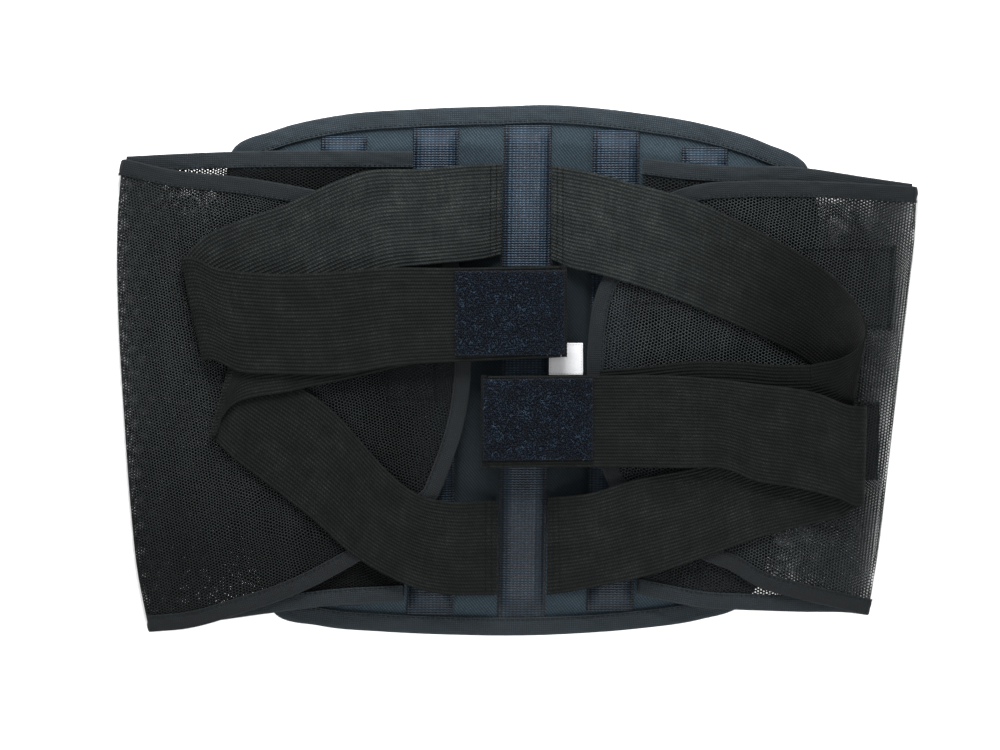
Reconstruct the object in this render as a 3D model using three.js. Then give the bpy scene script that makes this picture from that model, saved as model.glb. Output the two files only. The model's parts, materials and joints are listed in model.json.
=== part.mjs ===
// Lumbar support belt, laid flat with its outer side up. Millimetres, +Z up, +X to the wearer's left wing.
// A padded back panel with five stay channels carries two mesh wings, folded back over it at their fold lines,
// and four elastic bands, which run out from the centre channel, turn back and end in two hook tabs.
import * as THREE from "three";

// ---- driving dimensions, mm ----
const CLOTH = 0.8; // wing mesh, lining and cover
const ELASTIC = 1.4;
const GAP = 0.3; // between touching pieces
const BIND_WALL = 0.5;
const BIND_WIDTH = 9.5;
const BIND_HALF = 1.2; // half the height of a wing's binding
const PANEL_EDGE_Z = 1.7; // middle of the panel's pinched edge
const PANEL_BIND_HALF = 1.7;
const LINING_TOP = CLOTH;
const FOAM = [LINING_TOP + GAP, 4.9];
const COVER_TOP = 6.0;
const PINCH = 10; // from the edge to where the padding starts
const RAMP = 22; // from the edge to full padding
const CHANNEL_BASE = COVER_TOP + GAP;
const CHANNEL_WALL = 0.6;
const CHANNEL_TOP = 8.1;
const STAY = { width: 13, thick: 0.7, endGap: 14 };
const WING_LOW = 1.5; // middle of the wing's base layer where it lies on the table
const WING_HIGH = 9.6; // and where it lies over the panel
const BEND_R = 2.2;
const FLAP_LOW = WING_LOW + 2 * BEND_R;
const FLAP_HIGH = 12.4;
const RISE = { base: [6, 48], flap: [3, 48] }; // how far in from the fold the wing climbs onto the panel
const PATCH = 1.2;
const LEVEL = [7.2, 14.6, 17.0, 19.4]; // band ends on the cover, then the stacked layers of band
const HOOK = { thick: 1.8, lift: ELASTIC / 2 + GAP };
const HEM = { half: 1.9 };

// ---- outlines, mm ----
// the panel, anticlockwise
const PANEL_OUTLINE = [
  [-174, 104.7], [-170.4, 23.7], [-161.4, -66.3], [-151.8, -129.3], [-145.2, -145.5], [-118.2, -153.3],
  [-79.8, -156.9], [-39.6, -158.7], [-3.6, -159.3], [34.8, -158.1], [73.2, -155.1], [111, -149.5],
  [133.2, -142.5], [144.6, -129.3], [157.2, -66.3], [172.2, 23.7], [180, 101.7], [174.6, 121.5],
  [149.4, 135.6], [111, 147.3], [73.2, 153.6], [44.4, 156.9], [19.2, 158.4], [-3.6, 157.8],
  [-57.6, 156], [-106.8, 152.1], [-145.2, 143.1], [-169.8, 131.7],
];
// each channel: middle at its top end, middle at its low end, width, top end, low end
const CHANNELS = [
  [-103.2, -107.4, 27.6, 140.1, -141.9], [-48, -51.9, 27.6, 144.9, -147.3],
  [7.2, 3, 28.8, 146.7, -149.1], [60.3, 56.4, 28.2, 143.7, -144.9],
  [113.4, 109.2, 27.6, 133.5, -136.5],
];
// each wing: its fold line, both edges of the base layer and of the flap outward-in, the flap's free end,
// and heights of both layers against distance from the middle
const WINGS = {
  left: {
    fold: [[-241.2, 126.3], [-226.8, -155.1]],
    baseTop: [[-241.2, 127.5], [-201.6, 129], [-159.6, 130.5], [-61.8, 130.5]],
    baseLow: [[-226.8, -155.1], [-189.6, -151.5], [-150.6, -146.1], [-111.6, -141.3], [-67.2, -138.6]],
    flapTop: [
      [-241.2, 125.7], [-204.6, 119.1], [-160.8, 114.3], [-117.6, 106.5], [-69.6, 94.5], [-38.4, 77.7],
    ],
    flapLow: [
      [-226.8, -156.9], [-198.6, -155.1], [-165.6, -146.1], [-135.6, -135.9], [-111.6, -124.5],
      [-94.8, -114.9], [-69.6, -96.3], [-47.4, -77.1],
    ],
    end: [
      [-38.4, 77.7], [-31.2, 47.7], [-27.6, 17.7], [-28.2, -9.3], [-32.4, -35.1], [-39.6, -57.3],
      [-47.4, -77.1],
    ],
    patches: [
      { name: "closure_patch", corners: [[-78.6, 47.7], [-46.8, 47.7], [-46.8, -21.3], [-78.6, -21.3]] },
    ],
  },
  right: {
    fold: [[240.6, 110.7], [211.2, -147.3]],
    baseTop: [[240.6, 111], [206.4, 115.5], [169.2, 120.9], [126, 121.8], [102.6, 123.3], [76.2, 126.3]],
    baseLow: [
      [211.2, -147], [202.2, -145.8], [170.4, -144.9], [135, -143.7], [118.8, -143.1], [72.6, -134.7],
    ],
    flapTop: [
      [240.6, 109.5], [206.4, 111.3], [169.2, 112.8], [132.6, 112.5], [114, 111.3], [102.6, 108.9],
      [86.4, 102.9], [67.2, 92.1],
    ],
    flapLow: [
      [211.2, -147], [194.4, -143.1], [169.2, -137.1], [144, -129.3], [129, -120.3], [111, -113.1],
      [83.4, -93.3], [57, -71.7],
    ],
    end: [
      [67.2, 92.1], [55.2, 62.7], [47.4, 41.7], [43.8, 18.3], [43.2, -3.3], [45, -30.3], [50.4, -55.5],
      [57, -71.7],
    ],
    patches: [
      { name: "landing_patch_upper", corners: [[170.4, 74.7], [228.6, 74.7], [226.2, 23.7], [170.4, 23.7]] },
      { name: "landing_patch_lower", corners: [[205.2, -19.5], [218.4, -19.5], [217.2, -66.3], [204, -66.3]] },
      { name: "closure_patch", corners: [[78, 75.3], [104.4, 75.3], [104.4, 38.1], [69.6, 38.1]] },
    ],
  },
};
// bands sewn to the panel: [x, y, z] on the upper edge and on the lower edge, from the centre channel outward
const STATIC_BANDS = {
  upper_left_band: [
    [[-8.1, 123.9, 7.2], [-9, 68.7, 7.2]],
    [[-18.6, 123.3, 11], [-18.6, 66.3, 11]],
    [[-26.4, 123, 14.6], [-26.4, 65.1, 14.6]],
    [[-57.6, 120.3, 14.6], [-51.6, 62.7, 14.6]],
    [[-89.4, 119.1, 14.6], [-78.6, 59.1, 14.6]],
    [[-107.4, 113.1, 14.6], [-99.6, 51.3, 14.6]],
    [[-139.2, 98.7, 14.6], [-129.6, 37.5, 14.6]],
    [[-168.6, 88.5, 14.6], [-152.4, 26.1, 14.6]],
    [[-189.6, 77.7, 14.6], [-174.6, 12.3, 14.6]],
    [[-198.6, 67.5, 14.6], [-185.4, 5.7, 14.6]],
  ],
  lower_left_band: [
    [[-10.9, -78.3, 7.2], [-11.6, -135.3, 7.2]],
    [[-21.6, -78.9, 11], [-21.6, -135.3, 11]],
    [[-33.6, -79.5, 14.6], [-36.6, -135.3, 14.6]],
    [[-54.6, -76.5, 14.6], [-60.6, -131.1, 14.6]],
    [[-66.6, -69.9, 14.6], [-81.6, -121.5, 14.6]],
    [[-79.2, -58.5, 14.6], [-100.8, -108.9, 14.6]],
    [[-92.4, -43.5, 14.6], [-118.8, -92.7, 14.6]],
    [[-114.6, -20.7, 14.6], [-152.4, -66.3, 14.6]],
    [[-141.6, -2.1, 14.6], [-170.4, -52.5, 14.6]],
    [[-167.4, 13.5, 14.6], [-182.4, -40.5, 14.6]],
  ],
  upper_right_band: [
    [[21.8, 122.7, 7.2], [21.2, 65.7, 7.2]],
    [[32.4, 120.9, 11], [32.4, 60.9, 11]],
    [[44.4, 118.5, 14.6], [43.2, 58.5, 14.6]],
    [[74.4, 110.7, 14.6], [65.4, 52.5, 14.6]],
    [[104.4, 102.3, 14.6], [93.6, 42.9, 14.6]],
    [[137.4, 87.3, 14.8], [123.6, 30.3, 14.6]],
    [[164.4, 72.9, 17], [147.6, 19.5, 14.6]],
    [[189, 56.1, 27], [172.2, 6.9, 14.8]],
    [[200.4, 42.9, 40], [186, -3.3, 15.5]],
    [[207, 30.9, 52], [196.2, -9.3, 16.3]],
    [[208.5, 21.9, 56], [201, -17.1, 17]],
    [[204.6, 13.5, 46], [201, -29.1, 17]],
    [[194.4, 6.9, 31], [195.6, -42.3, 17]],
    [[176.4, 2.8, 26], [177.6, -51.3, 17]],
  ],
  lower_right_band: [
    [[19.3, -76.5, 7.2], [18.6, -135.3, 7.2]],
    [[29.4, -75.9, 11], [31.2, -133.5, 11]],
    [[41.4, -74.7, 14.6], [44.4, -131.1, 14.6]],
    [[74.4, -65.1, 14.6], [80.4, -123.3, 14.6]],
    [[110.4, -57.9, 14.6], [111, -113.1, 14.6]],
    [[135.6, -47.7, 14.6], [150.6, -99.3, 14.6]],
    [[164.4, -39.9, 14.6], [177.6, -92.7, 14.6]],
    [[191.4, -29.1, 14.6], [197.4, -86.7, 14.6]],
    [[203.4, -21.9, 14.6], [204.6, -81.9, 14.6]],
  ],
};
// layers that lie back over them: a turn at the fold line (edge points with the height below and above it), then rows
const RETURN_BANDS = {
  left_pull_strap: {
    sign: -1,
    fold: [[-198.6, 67.5, 14.6, 19.4], [-185.4, 5.7, 14.6, 19.4]],
    rows: [
      [[-179.4, 60.9, 19.4], [-165.6, -1.5, 19.4]],
      [[-156, 57.9, 19.4], [-144.6, -2.7, 19.4]],
      [[-117.6, 57.9, 19.4], [-105, -2.7, 19.4]],
      [[-77.4, 60.9, 19.4], [-69.6, 2.4, 19.4]],
      [[-36.6, 60.9, 19.4], [-33.6, 4.5, 19.4]],
      [[26.8, 62.1, 19.4], [26.8, 7.3, 19.4]],
    ],
  },
  left_under_strap: {
    sign: -1,
    fold: [[-167.4, 13.5, 14.6, 17], [-182.4, -40.5, 14.6, 17]],
    rows: [
      [[-162.6, 24.9, 17], [-177, -30.3, 17]],
      [[-157.2, 35.7, 17], [-170.4, -21.9, 17]],
      [[-133.8, 42.9, 17], [-133.8, -12.9, 17]],
      [[-92.4, 51.9, 17], [-92.4, -3.9, 17]],
      [[-66.6, 57.9, 17], [-66.6, 2.1, 17]],
      [[-42.6, 59.7, 17], [-42.6, 5.7, 17]],
    ],
  },
  right_pull_strap: {
    sign: 1,
    fold: [[203.4, -21.9, 14.6, 27.5], [204.6, -81.9, 14.6, 22]],
    rows: [
      [[181.8, -14.7, 27.5], [194.4, -77.7, 21.5]],
      [[164.4, -11.1, 26.5], [169.2, -71.1, 20.5]],
      [[144, -8.7, 24], [144, -66.9, 19.6]],
      [[125.4, -6.3, 21], [125.4, -59.7, 19.4]],
      [[99.6, -3.9, 19.4], [99.6, -59.1, 19.4]],
      [[47.4, -3.6, 19.4], [47.4, -58.5, 19.4]],
      [[-17, -3.9, 19.4], [-17, -59.1, 19.4]],
    ],
  },
  right_under_strap: {
    sign: 1,
    fold: null,
    rows: [
      [[175.7, 2.7, 25.8], [176.8, -51.3, 17]],
      [[156.6, 2.7, 22.5], [156.6, -52.5, 17]],
      [[134.4, 4.5, 19], [134.4, -50.7, 17]],
      [[110.4, 5.1, 17], [110.4, -50.1, 17]],
      [[68.4, 0.9, 17], [68.4, -51.9, 17]],
      [[50.4, -0.3, 17], [50.4, -53.1, 17]],
    ],
  },
};
const HOOKS = {
  left_hook_patch: { z: LEVEL[3], corners: [[-36, 58.5], [26.1, 59.1], [26.1, 9.3], [-35.4, 7.5]] },
  right_hook_patch: { z: LEVEL[3], corners: [[-16.4, -5.7], [46.2, -5.1], [46.2, -53.7], [-16.4, -54.3]] },
};
const HEMS = {
  left_tab_hem: { z: LEVEL[3], corners: [[27.2, 62.7], [30.6, 62.7], [30.6, 7.5], [27.2, 7.5]] },
  right_tab_hem: { z: LEVEL[3], corners: [[-21, -3.3], [-17.5, -3.3], [-17.5, -59.7], [-21, -59.7]] },
};
const LABEL = [[19.8, 15.9], [40.2, 15.9], [40.2, -3.3], [19.8, -3.3]];
const LABEL_Z = CHANNEL_TOP + GAP + 0.2;

// ---- materials ----
const COLOURS = {
  binding: 0x3a4146, panel_cloth: 0x39474f, lining: 0x2b3034, foam: 0x8c8c86, webbing: 0x34434f,
  steel: 0x9aa0a5, mesh: 0x202224, elastic: 0x232526, hook: 0x1c2733, loop: 0x1b2027, label: 0xf2f2f2,
};
const ROUGH = { steel: 0.3, webbing: 0.45, label: 0.6 };

const group = new THREE.Group();
group.name = "lumbar_support_belt";

function add(name, slot, geometry) {
  const material = new THREE.MeshStandardMaterial({
    color: COLOURS[slot], roughness: ROUGH[slot] ?? 0.9, metalness: slot === "steel" ? 1 : 0,
  });
  material.name = slot;
  const mesh = new THREE.Mesh(geometry, material);
  mesh.name = name;
  group.add(mesh);
}

// ---- helpers ----
const V = (x, y, z) => new THREE.Vector3(x, y, z);
const mix = (a, b, t) => a + (b - a) * t;

// From a at the near end of a span to b at its far end, with no kink at either.
function eased([near, far], a, b, d) {
  const t = Math.min(Math.max((d - near) / (far - near), 0), 1);
  return mix(a, b, t * t * (3 - 2 * t));
}

// Points at even steps along an open polyline of numbers.
function along(points, n) {
  const far = [0];
  for (let i = 1; i < points.length; i++) {
    far.push(far[i - 1] + Math.hypot(points[i][0] - points[i - 1][0], points[i][1] - points[i - 1][1]));
  }
  const out = [];
  for (let k = 0; k <= n; k++) {
    const at = (far[far.length - 1] * k) / n;
    let i = 1;
    while (i < points.length - 1 && far[i] < at) i++;
    const t = (at - far[i - 1]) / (far[i] - far[i - 1]);
    out.push(points[i].map((v, c) => mix(points[i - 1][c], v, t)));
  }
  return out;
}

// A closed solid from indexed triangles, turned outward whichever way they were wound.
function solid(points, faces) {
  let volume = 0;
  for (const [a, b, c] of faces) {
    volume += points[a].dot(V(0, 0, 0).crossVectors(points[b], points[c]));
  }
  const geometry = new THREE.BufferGeometry();
  const flat = points.flatMap((p) => [p.x, p.y, p.z]);
  geometry.setAttribute("position", new THREE.Float32BufferAttribute(flat, 3));
  geometry.setIndex(faces.flatMap(([a, b, c]) => (volume < 0 ? [a, c, b] : [a, b, c])));
  geometry.computeVertexNormals();
  return geometry;
}

// Two matching grids of points, one over the other, closed round their edges.
function between(low, high) {
  const rows = low.length;
  const cols = low[0].length;
  const points = [...low.flat(), ...high.flat()];
  const at = (i, j, side) => side * rows * cols + i * cols + j;
  const faces = [];
  const quad = (a, b, c, d) => faces.push([a, b, c], [a, c, d]);
  for (let i = 0; i < rows - 1; i++) {
    for (let j = 0; j < cols - 1; j++) {
      quad(at(i, j, 1), at(i + 1, j, 1), at(i + 1, j + 1, 1), at(i, j + 1, 1));
      quad(at(i, j, 0), at(i, j + 1, 0), at(i + 1, j + 1, 0), at(i + 1, j, 0));
    }
    quad(at(i, 0, 0), at(i + 1, 0, 0), at(i + 1, 0, 1), at(i, 0, 1));
    quad(at(i + 1, cols - 1, 0), at(i, cols - 1, 0), at(i, cols - 1, 1), at(i + 1, cols - 1, 1));
  }
  for (let j = 0; j < cols - 1; j++) {
    quad(at(0, j + 1, 0), at(0, j, 0), at(0, j, 1), at(0, j + 1, 1));
    quad(at(rows - 1, j, 0), at(rows - 1, j + 1, 0), at(rows - 1, j + 1, 1), at(rows - 1, j, 1));
  }
  return solid(points, faces);
}

// A sheet of cloth on the ground plan of a grid, at the height that z gives.
function laid(plan, z, thick) {
  const at = (half) => plan.map((row) => row.map(([x, y]) => V(x, y, z(x, y) + half)));
  return between(at(-thick / 2), at(thick / 2));
}

// A sheet that may turn over: its thickness is set off along its own normals.
function ribbon(mid, thick) {
  const rows = mid.length;
  const cols = mid[0].length;
  const offset = (s) =>
    mid.map((row, i) =>
      row.map((p, j) => {
        const u = V(0, 0, 0).subVectors(mid[Math.min(i + 1, rows - 1)][j], mid[Math.max(i - 1, 0)][j]);
        const v = V(0, 0, 0).subVectors(row[Math.min(j + 1, cols - 1)], row[Math.max(j - 1, 0)]);
        return u.cross(v).normalize().multiplyScalar(s).add(p);
      }),
    );
  return between(offset(-thick / 2), offset(thick / 2));
}

// The ground plan between two edge lines: rows across, from one to the other.
function planBetween(edgeA, edgeB, n, m) {
  const a = along(edgeA, n);
  const b = along(edgeB, n);
  return a.map((p, i) =>
    Array.from({ length: m + 1 }, (_, j) => [mix(p[0], b[i][0], j / m), mix(p[1], b[i][1], j / m)]),
  );
}

// Unit normals in plan, to the left of a path, mitred so that a set-off line stays parallel.
function mitres(path, closed) {
  const n = path.length;
  const side = (i, k) => {
    const a = path[i];
    const b = path[k];
    const l = Math.hypot(b[0] - a[0], b[1] - a[1]);
    return [-(b[1] - a[1]) / l, (b[0] - a[0]) / l];
  };
  return path.map((_, i) => {
    const before = i > 0 || closed ? side((i - 1 + n) % n, i) : side(0, 1);
    const after = i < n - 1 || closed ? side(i, (i + 1) % n) : side(n - 2, n - 1);
    const sum = [before[0] + after[0], before[1] + after[1]];
    const scale = 2 / (sum[0] ** 2 + sum[1] ** 2);
    return [sum[0] * scale, sum[1] * scale];
  });
}

// Tape folded over an edge: a U section swept along the edge, open towards the cloth on the path's left.
function binding(path, z, half, closed = false) {
  const normals = mitres(path, closed);
  const inner = half - BIND_WALL;
  const section = [
    [BIND_WIDTH, -half], [-GAP - BIND_WALL, -half], [-GAP - BIND_WALL, half], [BIND_WIDTH, half],
    [BIND_WIDTH, inner], [-GAP, inner], [-GAP, -inner], [BIND_WIDTH, -inner],
  ];
  const points = path.flatMap(([x, y], i) =>
    section.map(([a, b]) => {
      const px = x + normals[i][0] * a;
      const py = y + normals[i][1] * a;
      return V(px, py, z(px, py) + b);
    }),
  );
  return swept(points, path.length, section.length, closed, [
    [0, 1, 6], [0, 6, 7], [1, 2, 5], [1, 5, 6], [2, 3, 4], [2, 4, 5],
  ]);
}

// Rings of points joined into a tube, with the given triangles as end caps.
function swept(points, rings, k, closed, cap) {
  const faces = [];
  for (let i = 0; i < (closed ? rings : rings - 1); i++) {
    for (let j = 0; j < k; j++) {
      const a = i * k + j;
      const b = i * k + ((j + 1) % k);
      const c = ((i + 1) % rings) * k + ((j + 1) % k);
      const d = ((i + 1) % rings) * k + j;
      faces.push([a, b, c], [a, c, d]);
    }
  }
  if (!closed) {
    for (const [a, b, c] of cap) {
      faces.push([a, c, b]);
      const last = (rings - 1) * k;
      faces.push([last + a, last + b, last + c]);
    }
  }
  return solid(points, faces);
}

// A round-cornered loop through the panel's corner points, evenly stepped.
function loopOf(points, n) {
  const curve = new THREE.CatmullRomCurve3(points.map(([x, y]) => V(x, y, 0)), true, "centripetal");
  return curve.getSpacedPoints(n).slice(0, n).map((p) => [p.x, p.y]);
}

// Rings set in from a closed outline, each at its own height, closed by a fan over the middle.
function padded(outline, layers) {
  const n = outline.length;
  const normals = mitres(outline, true);
  const points = [];
  for (const [inset, low] of layers) {
    outline.forEach(([x, y], i) => points.push(V(x + normals[i][0] * inset, y + normals[i][1] * inset, low)));
  }
  const faces = [];
  const rings = layers.length;
  for (let r = 0; r < rings; r++) {
    if (r === rings - 1) break;
    for (let i = 0; i < n; i++) {
      const k = (i + 1) % n;
      faces.push([r * n + i, r * n + k, (r + 1) * n + k], [r * n + i, (r + 1) * n + k, (r + 1) * n + i]);
    }
  }
  const bottom = points.length;
  points.push(V(0, 0, layers[0][1]));
  points.push(V(0, 0, layers[rings - 1][1]));
  for (let i = 0; i < n; i++) {
    const k = (i + 1) % n;
    faces.push([bottom, k, i], [bottom + 1, (rings - 1) * n + i, (rings - 1) * n + k]);
  }
  return solid(points, faces);
}

// ---- back panel: lining, foam, cover, and a tape bound round the pinched edge ----
const outline = loopOf(PANEL_OUTLINE, 44);
const edgeLow = BIND_WALL + GAP;
add("panel_lining", "lining", padded(outline, [
  [RAMP, 0], [PINCH + 4, 0], [PINCH, edgeLow], [0, edgeLow],
  [0, edgeLow + CLOTH], [PINCH, edgeLow + CLOTH], [PINCH + 4, CLOTH], [RAMP, CLOTH],
]));
add("panel_foam_core", "foam", padded(outline, [
  [PINCH + 4.5, FOAM[0]], [PINCH + 5.5, FOAM[0] + 0.5], [RAMP, FOAM[1]],
]));
const coverEdge = edgeLow + CLOTH + GAP;
add("panel_cover", "panel_cloth", padded(outline, [
  [RAMP - 1, FOAM[1] + GAP], [PINCH + 4.5, coverEdge + 0.5], [PINCH, coverEdge], [0, coverEdge],
  [0, coverEdge + 0.7], [PINCH, coverEdge + 0.7], [PINCH + 4.5, coverEdge + 1.2], [RAMP - 1, COVER_TOP],
]));
add("panel_binding", "binding", binding(outline, () => PANEL_EDGE_Z, PANEL_BIND_HALF, true));

// ---- stay channels: flanged webbing over a spring-steel stay ----
CHANNELS.forEach(([xTop, xLow, width, yTop, yLow], i) => {
  const w = width / 2;
  const raise = STAY.width / 2 + 1.2;
  const wall = CHANNEL_WALL;
  const section = [
    [-w, 0], [-raise - 1, 0], [-raise, CHANNEL_TOP - wall - CHANNEL_BASE], [raise, CHANNEL_TOP - wall - CHANNEL_BASE],
    [raise + 1, 0], [w, 0], [w, wall], [raise + 1.6, wall],
    [raise + 0.6, CHANNEL_TOP - CHANNEL_BASE], [-raise - 0.6, CHANNEL_TOP - CHANNEL_BASE],
    [-raise - 1.6, wall], [-w, wall],
  ];
  const dip = i % 4 === 0 ? 0 : 1.4; // the inner channels follow the padding down at both ends
  const stations = [[0, dip], [0.025, 0], [0.975, 0], [1, dip]];
  const points = stations.flatMap(([t, down]) =>
    section.map(([a, b]) => V(mix(xTop, xLow, t) + a, mix(yTop, yLow, t), CHANNEL_BASE - down + b)),
  );
  const cap = [
    [0, 1, 10], [0, 10, 11], [1, 2, 9], [1, 9, 10], [2, 3, 8], [2, 8, 9], [3, 4, 7], [3, 7, 8], [4, 5, 6], [4, 6, 7],
  ];
  add(`stay_channel_${i + 1}`, "webbing", swept(points, stations.length, section.length, false, cap));
  const low = CHANNEL_BASE + 0.05;
  const t = (y) => (yTop - y) / (yTop - yLow);
  const ends = [yTop - STAY.endGap, yLow + STAY.endGap].map((y) => [mix(xTop, xLow, t(y)), y]);
  const bar = (z) => ends.map(([x, y]) => [V(x - STAY.width / 2, y, z), V(x + STAY.width / 2, y, z)]);
  add(`stay_${i + 1}`, "steel", between(bar(low), bar(low + STAY.thick)));
});

// ---- wings: a base layer sewn beside the channels, a bend at the fold line, and a flap laid back on top ----
for (const side of ["left", "right"]) {
  const w = WINGS[side];
  const sign = side === "left" ? -1 : 1;
  const fold = (y) => mix(w.fold[0][0], w.fold[1][0], (y - w.fold[0][1]) / (w.fold[1][1] - w.fold[0][1]));
  const inward = (x, y) => Math.abs(fold(y)) - Math.abs(x);
  const wingZ = (x, y) => eased(RISE.base, WING_LOW, WING_HIGH, x * sign < 0 ? 999 : inward(x, y));
  const flapZ = (x, y) => eased(RISE.flap, FLAP_LOW, FLAP_HIGH, x * sign < 0 ? 999 : inward(x, y));
  const meet = (line, inset) => line.map(([x, y], i) => (i === 0 ? [fold(y) - sign * inset, y] : [x, y]));

  const baseTop = meet(w.baseTop, GAP);
  const baseLow = meet(w.baseLow, GAP);
  add(`${side}_wing_base`, "mesh", laid(planBetween(baseTop, baseLow, 26, 1), wingZ, CLOTH));
  // the tape starts a little in from the fold, so that its slanting cut end clears the bend
  const startIn = (path, by) => {
    const [a, b] = path;
    const t = by / Math.hypot(b[0] - a[0], b[1] - a[1]);
    return [[mix(a[0], b[0], t), mix(a[1], b[1], t)], ...path.slice(1)];
  };
  const topPath = startIn(along(baseTop, 26), 1.4);
  const lowPath = startIn(along(baseLow, 26), 1.4);
  const turn = (path, flip) => (flip ? [...path].reverse() : path);
  add(`${side}_wing_base_binding_top`, "binding", binding(turn(topPath, side === "left"), wingZ, BIND_HALF));
  add(`${side}_wing_base_binding_low`, "binding", binding(turn(lowPath, side !== "left"), wingZ, BIND_HALF));

  const flapTop = meet(w.flapTop, GAP);
  const flapLow = meet(w.flapLow, GAP);
  const plan = planBetween(flapTop, flapLow, 18, 8);
  const end = along(w.end, 8);
  const chord = plan[18].map((p) => [...p]);
  plan.forEach((row, i) => {
    const share = (i / 18) ** 3;
    row.forEach((p, k) => [0, 1].forEach((c) => (p[c] += share * (end[k][c] - chord[k][c]))));
  });
  add(`${side}_wing_flap`, "mesh", laid(plan, flapZ, CLOTH));
  const endRow = plan[plan.length - 1];
  const rimTop = startIn(plan.map((r) => r[0]), 2.4).slice(0, -1);
  const rimLow = startIn(plan.map((r) => r[r.length - 1]), 2.4).slice(0, -1);
  const rim = [...rimTop, ...endRow, ...rimLow.reverse()];
  add(`${side}_wing_flap_binding`, "binding", binding(turn(rim, side === "left"), flapZ, BIND_HALF));

  // the bend: half a turn of cloth from the base layer up to the flap, thick at both ends where the tape goes round
  const bendAt = (t, y, r) => {
    const a = -Math.PI / 2 + Math.PI * t;
    return V(fold(y) + sign * Math.cos(a) * r, y, WING_LOW + BEND_R + Math.sin(a) * r);
  };
  const yTop = flapTop[0][1];
  const yLow = flapLow[0][1];
  const rows = [[yTop, BIND_HALF], [yTop - BIND_WIDTH, BIND_HALF], [yTop - BIND_WIDTH - 1, CLOTH / 2],
    [yLow + BIND_WIDTH + 1, CLOTH / 2], [yLow + BIND_WIDTH, BIND_HALF], [yLow, BIND_HALF]];
  const arc = (s) =>
    Array.from({ length: 9 }, (_, i) => rows.map(([y, h]) => bendAt(0.03 + (0.94 * i) / 8, y, BEND_R + s * h)));
  add(`${side}_wing_bend`, "mesh", between(arc(-1), arc(1)));

  // patches sewn under the flap
  for (const { name, corners: [a, b, c, d] } of w.patches) {
    const box = planBetween([a, b], [d, c], 8, 1);
    add(`${side}_${name}`, "loop", laid(box, (x, y) => flapZ(x, y) - CLOTH / 2 - GAP - PATCH / 2, PATCH));
  }
}

// ---- elastic bands ----
// A band from edge pairs: each row is [x, y, z] on one edge and on the other.
function bandOf(rows) {
  return ribbon(rows.map(([a, b]) => Array.from({ length: 4 }, (_, j) =>
    V(mix(a[0], b[0], j / 3), mix(a[1], b[1], j / 3), mix(a[2], b[2], j / 3)))), ELASTIC);
}

// Rows of a half turn from low up to high about a fold line, bulging sideways by its radius.
function halfTurn([a, b], sign, n = 8) {
  return Array.from({ length: n + 1 }, (_, i) => {
    const t = -Math.PI / 2 + (Math.PI * i) / n;
    return [a, b].map(([x, y, low, high]) => {
      const r = (high - low) / 2;
      return [x + sign * Math.cos(t) * r, y, low + r + Math.sin(t) * r];
    });
  });
}

for (const [name, rows] of Object.entries(STATIC_BANDS)) add(name, "elastic", bandOf(rows));
for (const [name, { fold, sign, rows }] of Object.entries(RETURN_BANDS)) {
  const turn = fold ? halfTurn(fold, sign).slice(1) : [];
  add(name, "elastic", bandOf([...turn, ...rows]));
}

// ---- hook tabs, with a thick folded hem at each end ----
for (const [name, { corners, z }] of Object.entries(HOOKS)) {
  const grid = planBetween([corners[0], corners[1]], [corners[3], corners[2]], 1, 1);
  add(name, "hook", laid(grid, () => z + HOOK.lift + HOOK.thick / 2, HOOK.thick));
}
for (const [name, { corners, z }] of Object.entries(HEMS)) {
  const grid = planBetween([corners[0], corners[1]], [corners[3], corners[2]], 1, 1);
  add(name, "elastic", laid(grid, () => z, HEM.half * 2));
}

// ---- care label, sewn on the centre channel ----
const labelPlan = planBetween([LABEL[0], LABEL[1]], [LABEL[3], LABEL[2]], 1, 1);
add("label", "label", laid(labelPlan, () => LABEL_Z, 0.4));

export default group;
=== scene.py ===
"""Lumbar support belt: the visual model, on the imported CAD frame. Metres, Z up. Edge tables are in millimetres."""

import json
from math import cos, exp, hypot, pi, sin, sqrt, tau

import bmesh
import bpy
import numpy as np
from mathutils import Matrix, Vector
from numpy.linalg import norm

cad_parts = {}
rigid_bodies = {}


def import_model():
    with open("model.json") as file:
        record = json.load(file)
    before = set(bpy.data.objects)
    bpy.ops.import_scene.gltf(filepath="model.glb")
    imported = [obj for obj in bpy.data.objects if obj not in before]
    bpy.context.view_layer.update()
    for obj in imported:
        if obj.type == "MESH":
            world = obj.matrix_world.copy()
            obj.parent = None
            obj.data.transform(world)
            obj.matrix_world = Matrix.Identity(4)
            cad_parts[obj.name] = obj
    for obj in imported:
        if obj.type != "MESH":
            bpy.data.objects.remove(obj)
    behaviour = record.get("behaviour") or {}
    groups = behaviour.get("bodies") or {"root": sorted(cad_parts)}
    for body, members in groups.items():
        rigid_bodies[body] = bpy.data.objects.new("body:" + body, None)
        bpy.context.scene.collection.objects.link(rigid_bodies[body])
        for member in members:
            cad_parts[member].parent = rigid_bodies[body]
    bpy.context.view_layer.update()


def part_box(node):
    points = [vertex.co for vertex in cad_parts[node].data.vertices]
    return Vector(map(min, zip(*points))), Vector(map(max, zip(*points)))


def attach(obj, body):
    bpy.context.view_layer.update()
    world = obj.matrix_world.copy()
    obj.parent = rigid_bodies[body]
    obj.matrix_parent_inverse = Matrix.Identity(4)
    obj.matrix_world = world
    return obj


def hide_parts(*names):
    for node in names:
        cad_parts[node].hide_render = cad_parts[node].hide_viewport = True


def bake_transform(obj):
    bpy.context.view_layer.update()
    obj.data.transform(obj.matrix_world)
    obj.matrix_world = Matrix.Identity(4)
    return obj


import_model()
MM = 0.001
RNG = np.random.default_rng(11)

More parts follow.
